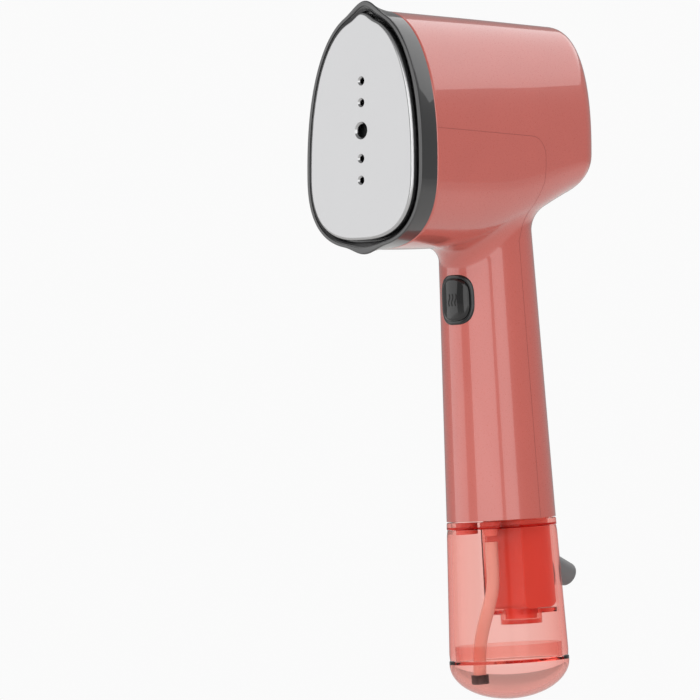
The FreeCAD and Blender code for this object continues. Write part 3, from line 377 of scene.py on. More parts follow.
def tube_surface(name: str, rings: np.ndarray, smooth: float = 40.0) -> bpy.types.Object:
    """Closed solid from a stack of rings, with a fan of triangles at each end.

    Args:
        name: the piece's name.
        rings: rows by columns by 3 array in millimetres.
        smooth: the angle above which an edge stays sharp.

    Returns:
        The object.
    """
    rows, columns = rings.shape[:2]
    points = rings.reshape(-1, 3)
    faces = grid_faces(rows, columns, True)
    last, top = rows * columns, (rows - 1) * columns
    points = np.vstack([points, rings[0].mean(axis=0), rings[-1].mean(axis=0)])
    faces += [(last, (i + 1) % columns, i) for i in range(columns)]
    faces += [(last + 1, top + i, top + (i + 1) % columns) for i in range(columns)]
    return mesh_piece(name, points, faces, smooth)


def ring_surface(name: str, rings: np.ndarray, smooth: float = 40.0) -> bpy.types.Object:
    """Closed ring-shaped solid: the last ring of points meets the first.

    Args:
        name: the piece's name.
        rings: rows by columns by 3 array in millimetres, where a row runs round the ring.
        smooth: the angle above which an edge stays sharp.

    Returns:
        The object.
    """
    rows, columns = rings.shape[:2]
    faces = [tuple(i % (rows * columns) for i in face) for face in grid_faces(rows + 1, columns, True)]
    return mesh_piece(name, rings.reshape(-1, 3), faces, smooth)


def sharpen(piece: bpy.types.Object, degrees: float) -> None:
    """Keep the edges sharp that turn by more than an angle."""
    piece.data.set_sharp_from_angle(angle=math.radians(degrees))


def boolean(piece: bpy.types.Object, other: bpy.types.Object, operation: str) -> None:
    """Join, cut or intersect a piece with another mesh, which is used up.

    Args:
        piece: the piece that stays.
        other: the mesh that is taken in.
        operation: UNION, DIFFERENCE or INTERSECT.
    """
    modifier = piece.modifiers.new("join", "BOOLEAN")
    modifier.operation = operation
    modifier.solver = "EXACT"
    modifier.object = other
    graph = bpy.context.evaluated_depsgraph_get()
    mesh = bpy.data.meshes.new_from_object(piece.evaluated_get(graph))
    piece.modifiers.clear()
    piece.data = mesh
    if not mesh.vertices:
        raise ValueError(f"{operation} of {piece.name} and {other.name} left nothing")
    bpy.data.objects.remove(other)


def spline_through(places: tuple[float, ...], values: tuple[float, ...], wanted: np.ndarray) -> np.ndarray:
    """Natural cubic spline: second slopes from one set of linear equations, zero at both ends.

    Args:
        places: where the values are given, rising.
        values: the values there.
        wanted: where values are asked for.

    Returns:
        The spline's values.
    """
    x, y = np.array(places, float), np.array(values, float)
    step = np.diff(x)
    system = np.eye(len(x))
    right = np.zeros(len(x))
    inner = np.arange(1, len(x) - 1)
    system[inner, inner - 1] = step[:-1]
    system[inner, inner] = 2 * (step[:-1] + step[1:])
    system[inner, inner + 1] = step[1:]
    right[inner] = 6 * (np.diff(y)[1:] / step[1:] - np.diff(y)[:-1] / step[:-1])
    bend = np.linalg.solve(system, right)
    spot = np.clip(np.searchsorted(x, wanted) - 1, 0, len(x) - 2)
    width = step[spot]
    after, before = wanted - x[spot], x[spot + 1] - wanted
    return (bend[spot] * before ** 3 + bend[spot + 1] * after ** 3) / (6 * width) + \
        (y[spot] / width - bend[spot] * width / 6) * before + \
        (y[spot + 1] / width - bend[spot + 1] * width / 6) * after


# ---- the object's frame and shared forms ----
@dataclass
class GripFrame:
    """The leaning axis of grip and tank, with v towards the rear and s down from the neck."""
    neck: tuple[float, float] = (76.2, -44.6)
    lean_deg: float = 4.68
    radii: tuple[tuple[float, float], ...] = ((-60.0, 18.75), (0.0, 20.4), (120.0, 23.7), (180.0, 25.9))

    def place(self, x: np.ndarray, v: np.ndarray, s: np.ndarray) -> np.ndarray:
        """Carry upright places into the object's frame.

        Args:
            x: sideways places.
            v: places towards the rear of the grip.
            s: distances below the neck.

        Returns:
            Array whose last axis is X, Y, Z in millimetres.
        """
        x, v, s = np.broadcast_arrays(x, v, s)
        c, t = math.cos(math.radians(self.lean_deg)), math.sin(math.radians(self.lean_deg))
        return np.stack([x, self.neck[0] + v * c + s * t, self.neck[1] + v * t - s * c], axis=-1)

    def radius(self, s: np.ndarray) -> np.ndarray:
        """Radius of the straight cones at a distance below the neck."""
        return np.interp(s, [p[0] for p in self.radii], [p[1] for p in self.radii])

    def direction(self, x: float, v: float, s: float) -> np.ndarray:
        """Turn a direction of the upright frame into the object's frame."""
        return self.place(np.array(x), np.array(v), np.array(s)) - self.place(*[np.array(0.0)] * 3)


@dataclass
class HeadForm:
    """Egg sections along the head: two superellipse halves that meet at the widest level."""
    front: float = 11.0
    end: float = 125.8
    crown: float = 150.0
    end_radius: float = 11.0
    end_crown: float = 2.2
    crown_extra: float = 0.6
    powers: tuple[float, float] = (2.25, 2.65)
    stations: tuple[float, ...] = (11.0, 38.0, 62.0, 86.0, 108.0, 130.0)
    half_widths: tuple[float, ...] = (35.1, 32.6, 30.3, 28.1, 26.0, 23.9)
    tops: tuple[float, ...] = (52.0, 51.9, 51.8, 51.6, 51.4, 51.2)
    bottoms: tuple[float, ...] = (-50.4, -49.0, -45.6, -36.2, -25.2, -15.5)
    levels: tuple[float, ...] = (-15.0, -13.5, -11.5, -8.5, -5.5, -3.0)

    def sizes(self, y: np.ndarray) -> tuple[np.ndarray, np.ndarray, np.ndarray, np.ndarray]:
        """Half width, top, bottom and widest level at a place along the head."""
        return tuple(spline_through(self.stations, row, y)
                     for row in (self.half_widths, self.tops, self.bottoms, self.levels))

    def inset(self, y: np.ndarray) -> np.ndarray:
        """How much the rounded rear edge takes the section in at a place along the head."""
        into = np.clip(y - (self.end - self.end_crown - self.end_radius), 0, 0.995 * self.end_radius)
        return self.end_radius - np.sqrt(self.end_radius ** 2 - into ** 2)

    def section(self, y: np.ndarray, angle: np.ndarray, inset: np.ndarray) -> np.ndarray:
        """Points of the egg at a place along the head, taken in by a margin.

        Args:
            y: places along the head.
            angle: angle from straight up.
            inset: margin by which the section is smaller.

        Returns:
            Array whose last axis is X, Y, Z in millimetres.
        """
        half, top, bottom, level = self.sizes(y)
        x, z = egg(angle, half - inset, top - inset, bottom + inset, level, self.powers)
        return np.stack(np.broadcast_arrays(x, y, z), axis=-1)

    def level_value(self, points: np.ndarray) -> np.ndarray:
        """Egg's level function, 0 on the surface: (|x / half|^p + |z / height|^p)^(1 / p) - 1.

        Args:
            points: array whose last axis is X, Y, Z.

        Returns:
            The value at each point, positive outside.
        """
        half, top, bottom, level = self.sizes(points[..., 1])
        inset = self.inset(points[..., 1])
        half, top, bottom = half - inset, top - inset, bottom + inset
        up = points[..., 2] - level
        power = np.where(up >= 0, *self.powers)
        height = np.where(up >= 0, top - level, level - bottom)
        total = np.abs(points[..., 0] / half) ** power + np.abs(up / height) ** power
        return total ** (1 / power) - 1

    def depth(self, points: np.ndarray) -> np.ndarray:
        """Signed distance from the head's side surface: the level function over its slope, positive outside."""
        return self.level_value(points) / np.linalg.norm(self.slope(points, self.level_value, 0.01), axis=-1)

    def slope(self, points: np.ndarray, function: Callable[[np.ndarray], np.ndarray],
              step: float) -> np.ndarray:
        """Gradient of a function of place, by central differences.

        Args:
            points: array whose last axis is X, Y, Z.
            function: gives one value for each point.
            step: distance from each point to the places compared.

        Returns:
            The gradient at each point.
        """
        parts = [(function(points + shift) - function(points - shift)) / (2 * step)
                 for shift in step * np.eye(3)]
        return np.stack(parts, axis=-1)

    def outward(self, points: np.ndarray) -> np.ndarray:
        """Unit outward direction of the side surface near each point."""
        return unit(self.slope(points, self.depth, 0.02))

    def nearest(self, centre: np.ndarray, reach: np.ndarray) -> np.ndarray:
        """Nearest places on the side surface, by stepping along its normals.

        Args:
            centre: places outside the head.
            reach: a first guess of their distances.

        Returns:
            Places on the surface.
        """
        spot = centre - reach[..., None] * self.outward(centre)
        for _ in range(6):
            normal = self.outward(spot)
            gap = np.sum((centre - spot) * normal, axis=-1, keepdims=True)
            spot = centre - gap * normal
            spot = spot - self.depth(spot)[..., None] * self.outward(spot)
        return spot


@dataclass
class Housing:
    """Coral head and grip: one smooth skin with a blended neck, and the seam between its two shells."""
    head: HeadForm
    axis: GripFrame
    wall: float = 2.2
    grip_length: float = 120.0
    neck_radii: tuple[float, float] = (9.5, 13.0)
    # distances below the neck between which the rolling ball's middle is sought
    neck_search: tuple[float, float] = (60.0, -30.0)
    tank_gap: float = 0.15
    seam_width: float = 0.2
    seam_start: float = 11.4
    seam_level: float = 0.2
    seam_turn: float = 76.0
    seam_corner: float = 9.0
    seam_foot: float = -19.0
    columns: int = 192

    def head_rings(self) -> np.ndarray:
        """Rings from the bezel to the rear: straight run, rounded rear edge, then the crowned end."""
        angle = full_turn(self.columns)
        r = self.head.end_radius
        bend = np.linspace(0, math.radians(84), 22)
        run = np.linspace(self.head.front, self.head.end - r - self.head.end_crown, 60)
        y = np.concatenate([run[:-1], run[-1] + r * np.sin(bend)])
        inset = np.concatenate([np.zeros(len(run) - 1), r * (1 - np.cos(bend))])
        rings = self.head.section(y[:, None], angle[None, :], inset[:, None])
        edge = rings[-1]
        middle = np.array([0.0, 0.0, edge[:, 2].mean()])
        share = np.cos(quarter_turn(16))[1:-1]
        cap = middle + (edge - middle) * share[:, None, None]
        rise = self.crown_rise(edge)
        cap[..., 1] = edge[:, 1].mean() + rise * (1 - share[:, None] ** 2)
        return np.concatenate([rings, cap], axis=0)

    def crown_rise(self, edge: np.ndarray) -> float:
        """Height of the end's crown over the rounded edge, from a circle through the edge."""
        reach = np.hypot(edge[:, 0], edge[:, 2] - edge[:, 2].mean()).mean()
        return reach ** 2 / (2 * self.head.crown) + self.head.crown_extra

    def make_head(self) -> bpy.types.Object:
        """Head skin with its wall, open towards the bezel."""
        rings = self.head_rings()
        rows, columns = rings.shape[:2]
        pole = rings[-1].mean(axis=0) + [0, 0.02, 0]
        points = np.vstack([rings.reshape(-1, 3), pole])
        top = (rows - 1) * columns
        faces = grid_faces(rows, columns, True)
        faces += [(rows * columns, top + i, top + (i + 1) % columns) for i in range(columns)]
        piece = mesh_piece("head_housing", points, faces, 60)
        self.give_wall(piece)
        return piece

    def give_wall(self, piece: bpy.types.Object) -> None:
        """Thicken a skin inwards by the moulded wall."""
        solid = piece.modifiers.new("wall", "SOLIDIFY")
        solid.thickness = self.wall * MM
        solid.offset = -1.0

    def neck_rings(self) -> np.ndarray:
        """Rings up the grip and out over the neck.

        A ball rolls between the grip's cone and the head: its middle is one ball radius from both, found by
        bisection along the grip for every direction, and the blend is the arc between the two touching points.

        Returns:
            Rows by columns by 3 array, from the tank seam to just inside the head.
        """
        turn = full_turn(self.columns)
        out_x, out_v = np.sin(turn), -np.cos(turn)
        front_ball, rear_ball = self.neck_radii
        ball = front_ball + (rear_ball - front_ball) * (1 - np.cos(turn)) / 2
        low, high = (np.full(self.columns, limit) for limit in self.neck_search)
        for _ in range(30):
            s = (low + high) / 2
            reach = self.axis.radius(s) + ball
            centre = self.axis.place(out_x * reach, out_v * reach, s)
            spot = self.head.nearest(centre, ball)
            outside = np.linalg.norm(centre - spot, axis=-1) > ball
            low, high = np.where(outside, s, low), np.where(outside, high, s)
        to_grip = self.axis.place(out_x * (reach - 1), out_v * (reach - 1), s) - centre
        to_head = unit(spot - centre)
        between = np.arccos(np.clip((to_grip * to_head).sum(axis=-1), -1, 1))
        share = np.linspace(0, 1, 26)[:, None]
        arc = np.sin((1 - share) * between)[..., None] * to_grip + np.sin(share * between)[..., None] * to_head
        arc = centre + ball[:, None] * arc / np.sin(between)[:, None]
        start = self.grip_length - self.tank_gap
        s_run = start + (s - start) * np.linspace(0, 1, 60)[:-1, None]
        run_reach = self.axis.radius(s_run)
        run = self.axis.place(out_x * run_reach, out_v * run_reach, s_run)
        # one last ring runs on and dips under the head's skin
        tuck = arc[-1] + (arc[-1] - arc[-2]) * 1.5 - 0.35 * self.head.outward(arc[-1])
        return np.concatenate([run, arc, tuck[None]], axis=0)

    def make_grip(self, opening: bpy.types.Object) -> bpy.types.Object:
        """Grip skin with its wall and the opening for the button.

        Args:
            opening: the cutter, which is used up.

        Returns:
            The grip.
        """
        rings = self.neck_rings()
        rows, columns = rings.shape[:2]
        piece = mesh_piece("grip_housing", rings.reshape(-1, 3), grid_faces(rows, columns, True), 60)
        self.give_wall(piece)
        boolean(piece, opening, "DIFFERENCE")
        sharpen(piece, 35)
        return piece

    def seam_path(self) -> np.ndarray:
        """Line where the two shells meet on one side: back along the head, round a corner and down the grip.

        Returns:
            Rows of Y and Z in millimetres.
        """
        corner, r = quarter_turn(14), self.seam_corner
        rear, low = self.seam_turn + r, self.seam_level - r
        back = np.stack([np.linspace(self.seam_start, self.seam_turn, 50),
                         np.full(50, self.seam_level)], axis=-1)
        turn = np.stack([self.seam_turn + r * np.sin(corner), low + r * np.cos(corner)], axis=-1)
        fall = np.stack([np.full(8, rear), np.linspace(low - 0.8, self.seam_foot, 8)], axis=-1)
        foot = np.stack([np.linspace(rear - 0.3, self.axis.neck[0], 18),
                         np.linspace(self.seam_foot - 0.9, self.axis.neck[1], 18)], axis=-1)
        s = np.linspace(1.0, self.grip_length - 0.4, 70)
        grip = self.axis.place(np.zeros_like(s), np.zeros_like(s), s)[:, 1:]
        return np.concatenate([back, turn[1:], fall, foot, grip])

    def make_seam(self, skins: list[bpy.types.Object]) -> bpy.types.Object:
        """Thin dark line of painted shade in the joint between the shells, laid on the skins by rays cast from
        the side.

        Args:
            skins: the head and grip pieces.

        Returns:
            The seam on both sides.
        """
        inward, outside = Vector((-1, 0, 0)), 80 * MM
        graph = bpy.context.evaluated_depsgraph_get()
        seen = [skin.evaluated_get(graph) for skin in skins]
        rows = []
        for y, z in self.seam_path():
            best = None
            for skin in seen:
                hit, place, normal, _ = skin.ray_cast(Vector((outside, y * MM, z * MM)), inward)
                if hit and (best is None or place.x > best[0].x):
                    best = (place.copy(), normal.copy())
            if best:
                rows.append((np.array(best[0]) / MM, np.array(best[1])))
        spots = np.array([place for place, _ in rows])
        normals = unit(np.array([normal for _, normal in rows]))
        across = np.cross(unit(np.gradient(spots, axis=0)), normals) * (self.seam_width / 2)
        lift, sink = normals * 0.03, normals * -0.25
        ring = np.stack([spots + across + lift, spots - across + lift, spots - across + sink,
                         spots + across + sink], axis=1)
        mirrored = ring * np.array([-1, 1, 1])
        return join([tube_surface("shell_seam", ring, smooth=30),
                     tube_surface("shell_seam_mirror", mirrored, smooth=30)])


def join(pieces: list[bpy.types.Object]) -> bpy.types.Object:
    """Join pieces into the first one, by stacking their points and faces.

    Args:
        pieces: objects with meshes in place.

    Returns:
        The first object with a new mesh.
    """
    points, faces, base = [], [], 0
    for piece in pieces:
        count = len(piece.data.vertices)
        flat = np.empty(count * 3)
        piece.data.vertices.foreach_get("co", flat)
        points.append(flat.reshape(-1, 3) / MM)
        faces += [tuple(base + i for i in polygon.vertices) for polygon in piece.data.polygons]
        base += count
    name = pieces[0].name
    for piece in pieces:
        bpy.data.objects.remove(piece)
    return mesh_piece(name, np.vstack(points), faces)


@dataclass
class FrontEnd:
    """Bezel around the steam plate."""
    head: HeadForm
    columns: int = 288
    rim_y: float = 1.8
    band_y: float = 10.8
    lips: tuple[float, float] = (3.9, 2.6)
    lip_half: float = 12.5
    # half width, top, bottom and widest level of each outline
    band: tuple[float, float, float, float] = (35.2, 52.1, -50.5, -15.0)
    rim: tuple[float, float, float, float] = (34.7, 52.0, -50.4, -15.0)
    plate: tuple[float, float, float, float] = (31.0, 48.2, -47.0, -16.0)
    peak: float = 2.4
    peak_half: float = 8.0
    plate_gap: float = 0.55
    mouth_inset: float = 4.8
    rim_radius: float = 0.55
    seat_y: float = 5.5
    back_y: float = 8.0
    # groove, step and slope: share of the way from the rim to the gap, and depth behind the rim
    steps: tuple[tuple[float, float], ...] = (
        (0.44, 0.0), (0.49, 0.1), (0.50, 0.45), (0.55, 0.45), (0.56, 0.3), (0.60, 0.25),
        (0.84, 1.1), (0.90, 1.3), (0.93, 1.6), (1.0, 2.6))

    def outline(self, sizes: tuple[float, float, float, float], lips: tuple[float, float],
                lip_half: float) -> np.ndarray:
        """Egg outline with a cosine-squared lip at each end.

        Args:
            sizes: half width, top, bottom and widest level.
            lips: height of the upper and of the lower lip.
            lip_half: half the width of a lip.

        Returns:
            X and Z columns.
        """
        angle = full_turn(self.columns)
        x, z = egg(angle, *sizes, self.head.powers)
        bump = np.cos(math.pi / 2 * np.clip(np.abs(x) / lip_half, 0, 1)) ** 2
        z = z + np.where(np.cos(angle) >= 0, lips[0] * bump, -lips[1] * bump)
        return np.stack([x, z], axis=-1)

    def ring(self, outer: np.ndarray, inner: np.ndarray, share: float, y: float) -> np.ndarray:
        """One ring between two outlines at a share of the way, at a depth."""
        flat = outer + (inner - outer) * share
        return np.stack([flat[:, 0], np.full(len(flat), y), flat[:, 1]], axis=-1)

    def make_bezel(self) -> bpy.types.Object:
        """Band, rounded rim, groove, step and slope down to the plate, as rings from the back to the inside."""
        band = self.outline(self.band, (0.0, 0.0), self.lip_half)
        rim = self.outline(self.rim, self.lips, self.lip_half)
        half, top, bottom, level = self.plate
        wide, deep = self.plate_gap, self.mouth_inset
        gap = self.outline((half + wide, top + wide, bottom - wide, level), (self.peak, 0.0), self.peak_half)
        mouth = self.outline((half - deep, top - deep, bottom + deep, level), (0.0, 0.0), self.peak_half)
        rings = [self.ring(band, rim, 0.0, self.band_y), self.ring(band, rim, 0.0, self.band_y - 0.15)]
        for share in np.linspace(0.12, 0.9, 12):
            rings.append(self.ring(band, rim, share ** 1.6, self.band_y - (self.band_y - self.rim_y) * share))
        for t in quarter_turn(7):
            y = self.rim_y + self.rim_radius * (1 - math.sin(t))
            rings.append(self.ring(rim, gap, 0.13 * (1 - math.cos(t)), y))
        rings += [self.ring(rim, gap, share, self.rim_y + depth) for share, depth in self.steps]
        rings += [self.ring(gap, mouth, 0.0, self.seat_y), self.ring(gap, mouth, 1.0, self.seat_y),
                  self.ring(gap, mouth, 1.0, self.back_y), self.ring(band, mouth, 0.35, self.back_y),
                  self.ring(band, mouth, 0.25, self.band_y)]
        return ring_surface("front_bezel_rim", np.array(rings), smooth=28)


@dataclass
class Button:
    """Press button on the front of the grip: black surround, domed cap and a steam sign of three waves."""
    axis: GripFrame
    s: float = 24.0
    half_width: float = 9.7
    half_height: float = 10.8
    power: float = 3.0
    ring: float = 1.5
    gap: float = 0.2
    edge_share: float = 0.13
    dome_rise: float = 0.3
    sign_pitch: float = 1.9
    sign_swing: float = 0.45
    sign_length: float = 5.2
    sign_half_width: float = 0.32
    columns: int = 128

    def patch(self, share: np.ndarray, lift: np.ndarray, half: tuple[float, float]) -> np.ndarray:
        """Rings of a rounded square wrapped on the grip.

        Args:
            share: how far each ring is from the middle, 1 at the outline.
            lift: height of each ring above the grip's cone.
            half: half width and half height of the outline.

        Returns:
            Rows by columns by 3 array.
        """
        angle = full_turn(self.columns)
        x = half[0] * share[:, None] * power_wave(np.sin(angle), self.power)
        s = self.s - half[1] * share[:, None] * power_wave(np.cos(angle), self.power)
        radius = self.axis.radius(s) + lift[:, None]
        return self.axis.place(x, -np.sqrt(np.maximum(radius ** 2 - x ** 2, 1.0)), s)

    def make_surround(self) -> bpy.types.Object:
        """Ring let into the grip, a little proud, with rounded edges."""
        inner = self.ring / self.half_width
        share = np.array([1.0, 1.0, 0.985, 0.95, 1 - inner + 0.03, 1 - inner + 0.005, 1 - inner, 1 - inner])
        lift = np.array([-3.0, 0.05, 0.28, 0.4, 0.4, 0.28, 0.05, -3.0])
        half = (self.half_width - 0.05, self.half_height - 0.05)
        return ring_surface("button_ring", self.patch(share, lift, half), smooth=50)

    def make_cap(self) -> bpy.types.Object:
        """Cap with a soft dome and a rounded edge, closed below."""
        half = (self.half_width - self.ring - self.gap, self.half_height - self.ring - self.gap)
        edge, inner = quarter_turn(9), np.linspace(0.84, 0.02, 20)
        share = np.concatenate([[0.02, 0.5, 1.0, 1.0], 1 - self.edge_share * (1 - np.cos(edge)), inner])
        dome = 1.2 + self.dome_rise * (1 - (inner / (1 - self.edge_share)) ** 2)
        lift = np.concatenate([[-2.3, -2.3, -2.3, 0.2], 0.35 + 0.85 * np.sin(edge), dome])
        return tube_surface("button_cap", self.patch(share, lift, half), smooth=50)

    def make_opening(self) -> bpy.types.Object:
        """Cutter for the opening in the grip."""
        share = np.array([1.0, 1.0, 1.0])
        lift = np.array([-4.5, 0.0, 4.0])
        return tube_surface("opening", self.patch(share, lift, (self.half_width, self.half_height)))

    def make_sign(self) -> bpy.types.Object:
        """Three wavy strokes, each a thin ribbon that follows the cap."""
        strokes = []
        for middle in (-self.sign_pitch, 0.0, self.sign_pitch):
            t = np.linspace(0, 1, 24)
            x = middle + self.sign_swing * np.sin(2 * math.pi * t)
            s = self.s - self.sign_length / 2 + self.sign_length * t
            normal_x, normal_s = np.gradient(s), -np.gradient(x)
            length = np.hypot(normal_x, normal_s)
            sides = []
            for side, lift in ((1, 1.53), (-1, 1.53), (-1, 1.3), (1, 1.3)):
                xs = x + side * self.sign_half_width * normal_x / length
                ss = s + side * self.sign_half_width * normal_s / length
                fall = self.dome_rise * ((xs / 8) ** 2 + ((ss - self.s) / 9) ** 2)
                radius = self.axis.radius(ss) + (lift - fall)
                sides.append(self.axis.place(xs, -np.sqrt(radius ** 2 - xs ** 2), ss))
            strokes.append(tube_surface("steam_sign", np.stack(sides, axis=1), smooth=30))
        return join(strokes)


@dataclass
class Tank:
    """Clear tank, lid and base around the dock's spine, with the pickup tube inside."""
    axis: GripFrame
    top: float = 120.3
    lid_end: float = 123.5
    end: float = 180.0
    wall: float = 2.2
    spine_half: float = 10.5
    spine_front: float = 0.7
    spine_end: float = 159.2
    # radius, v of its middle and lowest s of the round foot below the spine
    foot: tuple[float, float, float] = (6.9, 9.1, 163.6)
    clearance: float = 0.35
    foot_clearance: float = 0.4
    liner_wall: float = 1.8
    edge: float = 0.25
    lid_edge: float = 0.3
    lid_plate: float = 1.0
    bowl_rim: float = 1.8
    bowl_depth: float = 16.0
    bowl_wall: float = 2.0
    flange_wall: float = 1.6
    flange_reach: float = 6.0
    # the pickup tube's middle line, and its outer and inner radius
    pickup_s: tuple[float, ...] = (129.5, 140.0, 150.0, 160.0, 172.0, 187.0)
    pickup_x: tuple[float, ...] = (0.0, 0.0, -0.6, -3.2, -7.0, -8.6)
    pickup_v: tuple[float, ...] = (-7.0, -7.0, -7.3, -8.6, -9.6, -9.9)
    pickup_radii: tuple[float, float] = (2.8, 1.8)
    columns: int = 160

    def lathe(self, name: str, profile: np.ndarray, cap: bool = False) -> bpy.types.Object:
        """Turn a profile around the grip's axis.

        Args:
            name: the piece's name.
            profile: rows of radius and s.
            cap: whether both ends are closed, and not joined to each other.

        Returns:
            The piece.
        """
        turn = full_turn(self.columns)
        radius, s = profile[:, 0][:, None], profile[:, 1][:, None]
        rings = self.axis.place(radius * np.sin(turn), -radius * np.cos(turn), s * np.ones_like(turn))
        return (tube_surface if cap else ring_surface)(name, rings, smooth=35)

    def pocket(self, grow: float, depth: float) -> bpy.types.Object:
        """Block around the spine with two rounded corners, from above the lid to below the spine.

        Args:
            grow: margin to the spine at its front and sides.
            depth: margin below the spine.

        Returns:
            The block.
        """
        half, front = self.spine_half + grow, self.spine_front - grow
        corner, r, behind = quarter_turn(7), 2.0, 45.0
        left = np.stack([-half + r - r * np.sin(corner), front + r - r * np.cos(corner)], axis=-1)[::-1]
        outline = np.concatenate([[[half, behind]], [[-half, behind]], left, (left * [-1, 1])[::-1]])
        s = np.array([self.top - 4, self.spine_end + depth])
        rings = self.axis.place(outline[None, :, 0], outline[None, :, 1], s[:, None] * np.ones(len(outline)))
        return tube_surface("pocket", rings, smooth=35)

    def foot_block(self, grow: float) -> bpy.types.Object:
        """Cylinder around the spine's foot."""
        radius, v, low = self.foot
        turn, r = full_turn(64), radius + grow
        s = np.array([[150.0], [low + grow]]) * np.ones(64)
        rings = self.axis.place(r * np.sin(turn)[None], v + r * np.cos(turn)[None], s)
        return tube_surface("foot", rings)

    def make_wall(self) -> bpy.types.Object:
        """Tank wall with the pocket's own wall inside it."""
        top, end = self.lid_end + 0.15, self.end - 0.1
        s = np.linspace(top, end, 24)
        outside = np.stack([self.axis.radius(s), s], axis=-1)
        inside = outside[::-1] - [self.wall, 0]
        outside[[0, -1], 0] -= self.edge
        piece = self.lathe("tank_wall", np.vstack([outside, inside]))
        # the liner stops just short of the wall's ends, since a Boolean fails on faces in one plane
        span = np.array([top + 0.07, end - 0.07])
        liner = self.lathe("liner", np.stack([self.axis.radius(span) - 0.6, span], axis=-1), cap=True)
        block = self.pocket(self.clearance + self.liner_wall, self.liner_wall + self.clearance)
        boolean(block, self.foot_block(self.foot_clearance + self.liner_wall), "UNION")
        boolean(liner, block, "INTERSECT")
        boolean(piece, liner, "UNION")
        boolean(piece, self.pocket(self.clearance, self.clearance), "DIFFERENCE")
        boolean(piece, self.foot_block(self.foot_clearance), "DIFFERENCE")
        sharpen(piece, 35)
        return piece

    def make_lid(self) -> bpy.types.Object:
        """Lid ring, with the pocket cut out of it."""
        top, end, edge = self.top, self.lid_end, self.lid_edge
        high, low = self.axis.radius(np.array([top, end]))
        floor = end - self.lid_plate
        profile = np.array([[high - self.wall, top], [high - edge, top], [high, top + edge], [low, end - edge],
                            [low - edge, end], [0.01, end], [0.01, floor], [high - self.wall, floor]])
        piece = self.lathe("tank_top", profile)
        boolean(piece, self.pocket(self.clearance, self.clearance), "DIFFERENCE")
        sharpen(piece, 35)
        return piece

    def make_base(self) -> bpy.types.Object:
        """Bowl below a short rim, with the flange that reaches up inside the wall."""
        end, thick, t = self.end, self.bowl_wall, quarter_turn(40)
        radius = float(self.axis.radius(np.array(end))) + 0.08
        level = end + self.bowl_rim
        outer = np.stack([radius * np.cos(t), level + self.bowl_depth * np.sin(t)], axis=-1)
        inner = np.stack([(radius - thick) * np.cos(t), level + (self.bowl_depth - thick) * np.sin(t)], axis=-1)
        for half in (outer, inner):
            half[:, 0] = np.maximum(half[:, 0], 0.02)
        flange = radius - self.wall - 0.6
        within, low = flange - self.flange_wall, end - self.flange_reach
        rim = [[flange, low], [flange, end + 0.2], [radius - 0.3, end + 0.2], [radius, end + 0.5]]
        profile = np.vstack([rim, outer, inner[::-1], [[within, end + 0.4], [within, low]]])
        return self.lathe("tank_bowl", profile)

    def make_pickup(self) -> bpy.types.Object:
        """Soft tube that hangs from the lid and curves to the strainer."""
        s = np.linspace(self.pickup_s[0], self.pickup_s[-1], 60)
        x, v = (spline_through(self.pickup_s, row, s) for row in (self.pickup_x, self.pickup_v))
        path = self.axis.place(x, v, s)
        along = unit(np.gradient(path, axis=0))
        side = unit(np.cross(along, [0, 1, 0]))
        ring = circle(side, np.cross(along, side), 28)
        outer, inner = (path[:, None] + radius * ring for radius in self.pickup_radii)
        return ring_surface("pickup_hose", np.concatenate([outer, inner[::-1]]), smooth=50)


@dataclass
class Gland:
    """Grey cord entry behind the tank, with a rounded end and a bore."""
    axis: GripFrame
    radius: float = 5.25
    bore: float = 3.3
    drop_deg: float = 26.3
    reach: float = 17.6
    root_s: float = 139.2
    sunk: float = 4.8
    lip: float = 1.9

    def make(self) -> bpy.types.Object:
        """Turn the gland's profile around its own slanting axis."""
        drop, lip = math.radians(self.drop_deg), self.lip
        root = self.axis.place(np.array(0.0), self.axis.radius(np.array(self.root_s)), np.array(self.root_s))
        ahead = self.axis.direction(0.0, math.cos(drop), math.sin(drop))
        side = np.array([1.0, 0.0, 0.0])
        profile = [(self.bore, -self.sunk), (self.radius, -self.sunk)]
        profile += [(self.radius - lip + lip * math.cos(t), self.reach - lip + lip * math.sin(t))
                    for t in quarter_turn(9)]
        profile += [(self.bore + 0.3, self.reach), (self.bore, self.reach - 0.4)]
        radius, out = np.array(profile).T[..., None, None]
        points = root + radius * circle(side, np.cross(side, ahead), 64) + out * ahead
        return ring_surface("cord_entry_gland", points, smooth=40)


# ---- lights and camera ----
def heading(bearing: float, height: float) -> Vector:
    """Unit direction from degrees round from -Y towards +X and degrees above level."""
    turn, tilt = math.radians(bearing), math.radians(height)
    return Vector((math.sin(turn) * math.cos(tilt), -math.cos(turn) * math.cos(tilt), math.sin(tilt)))


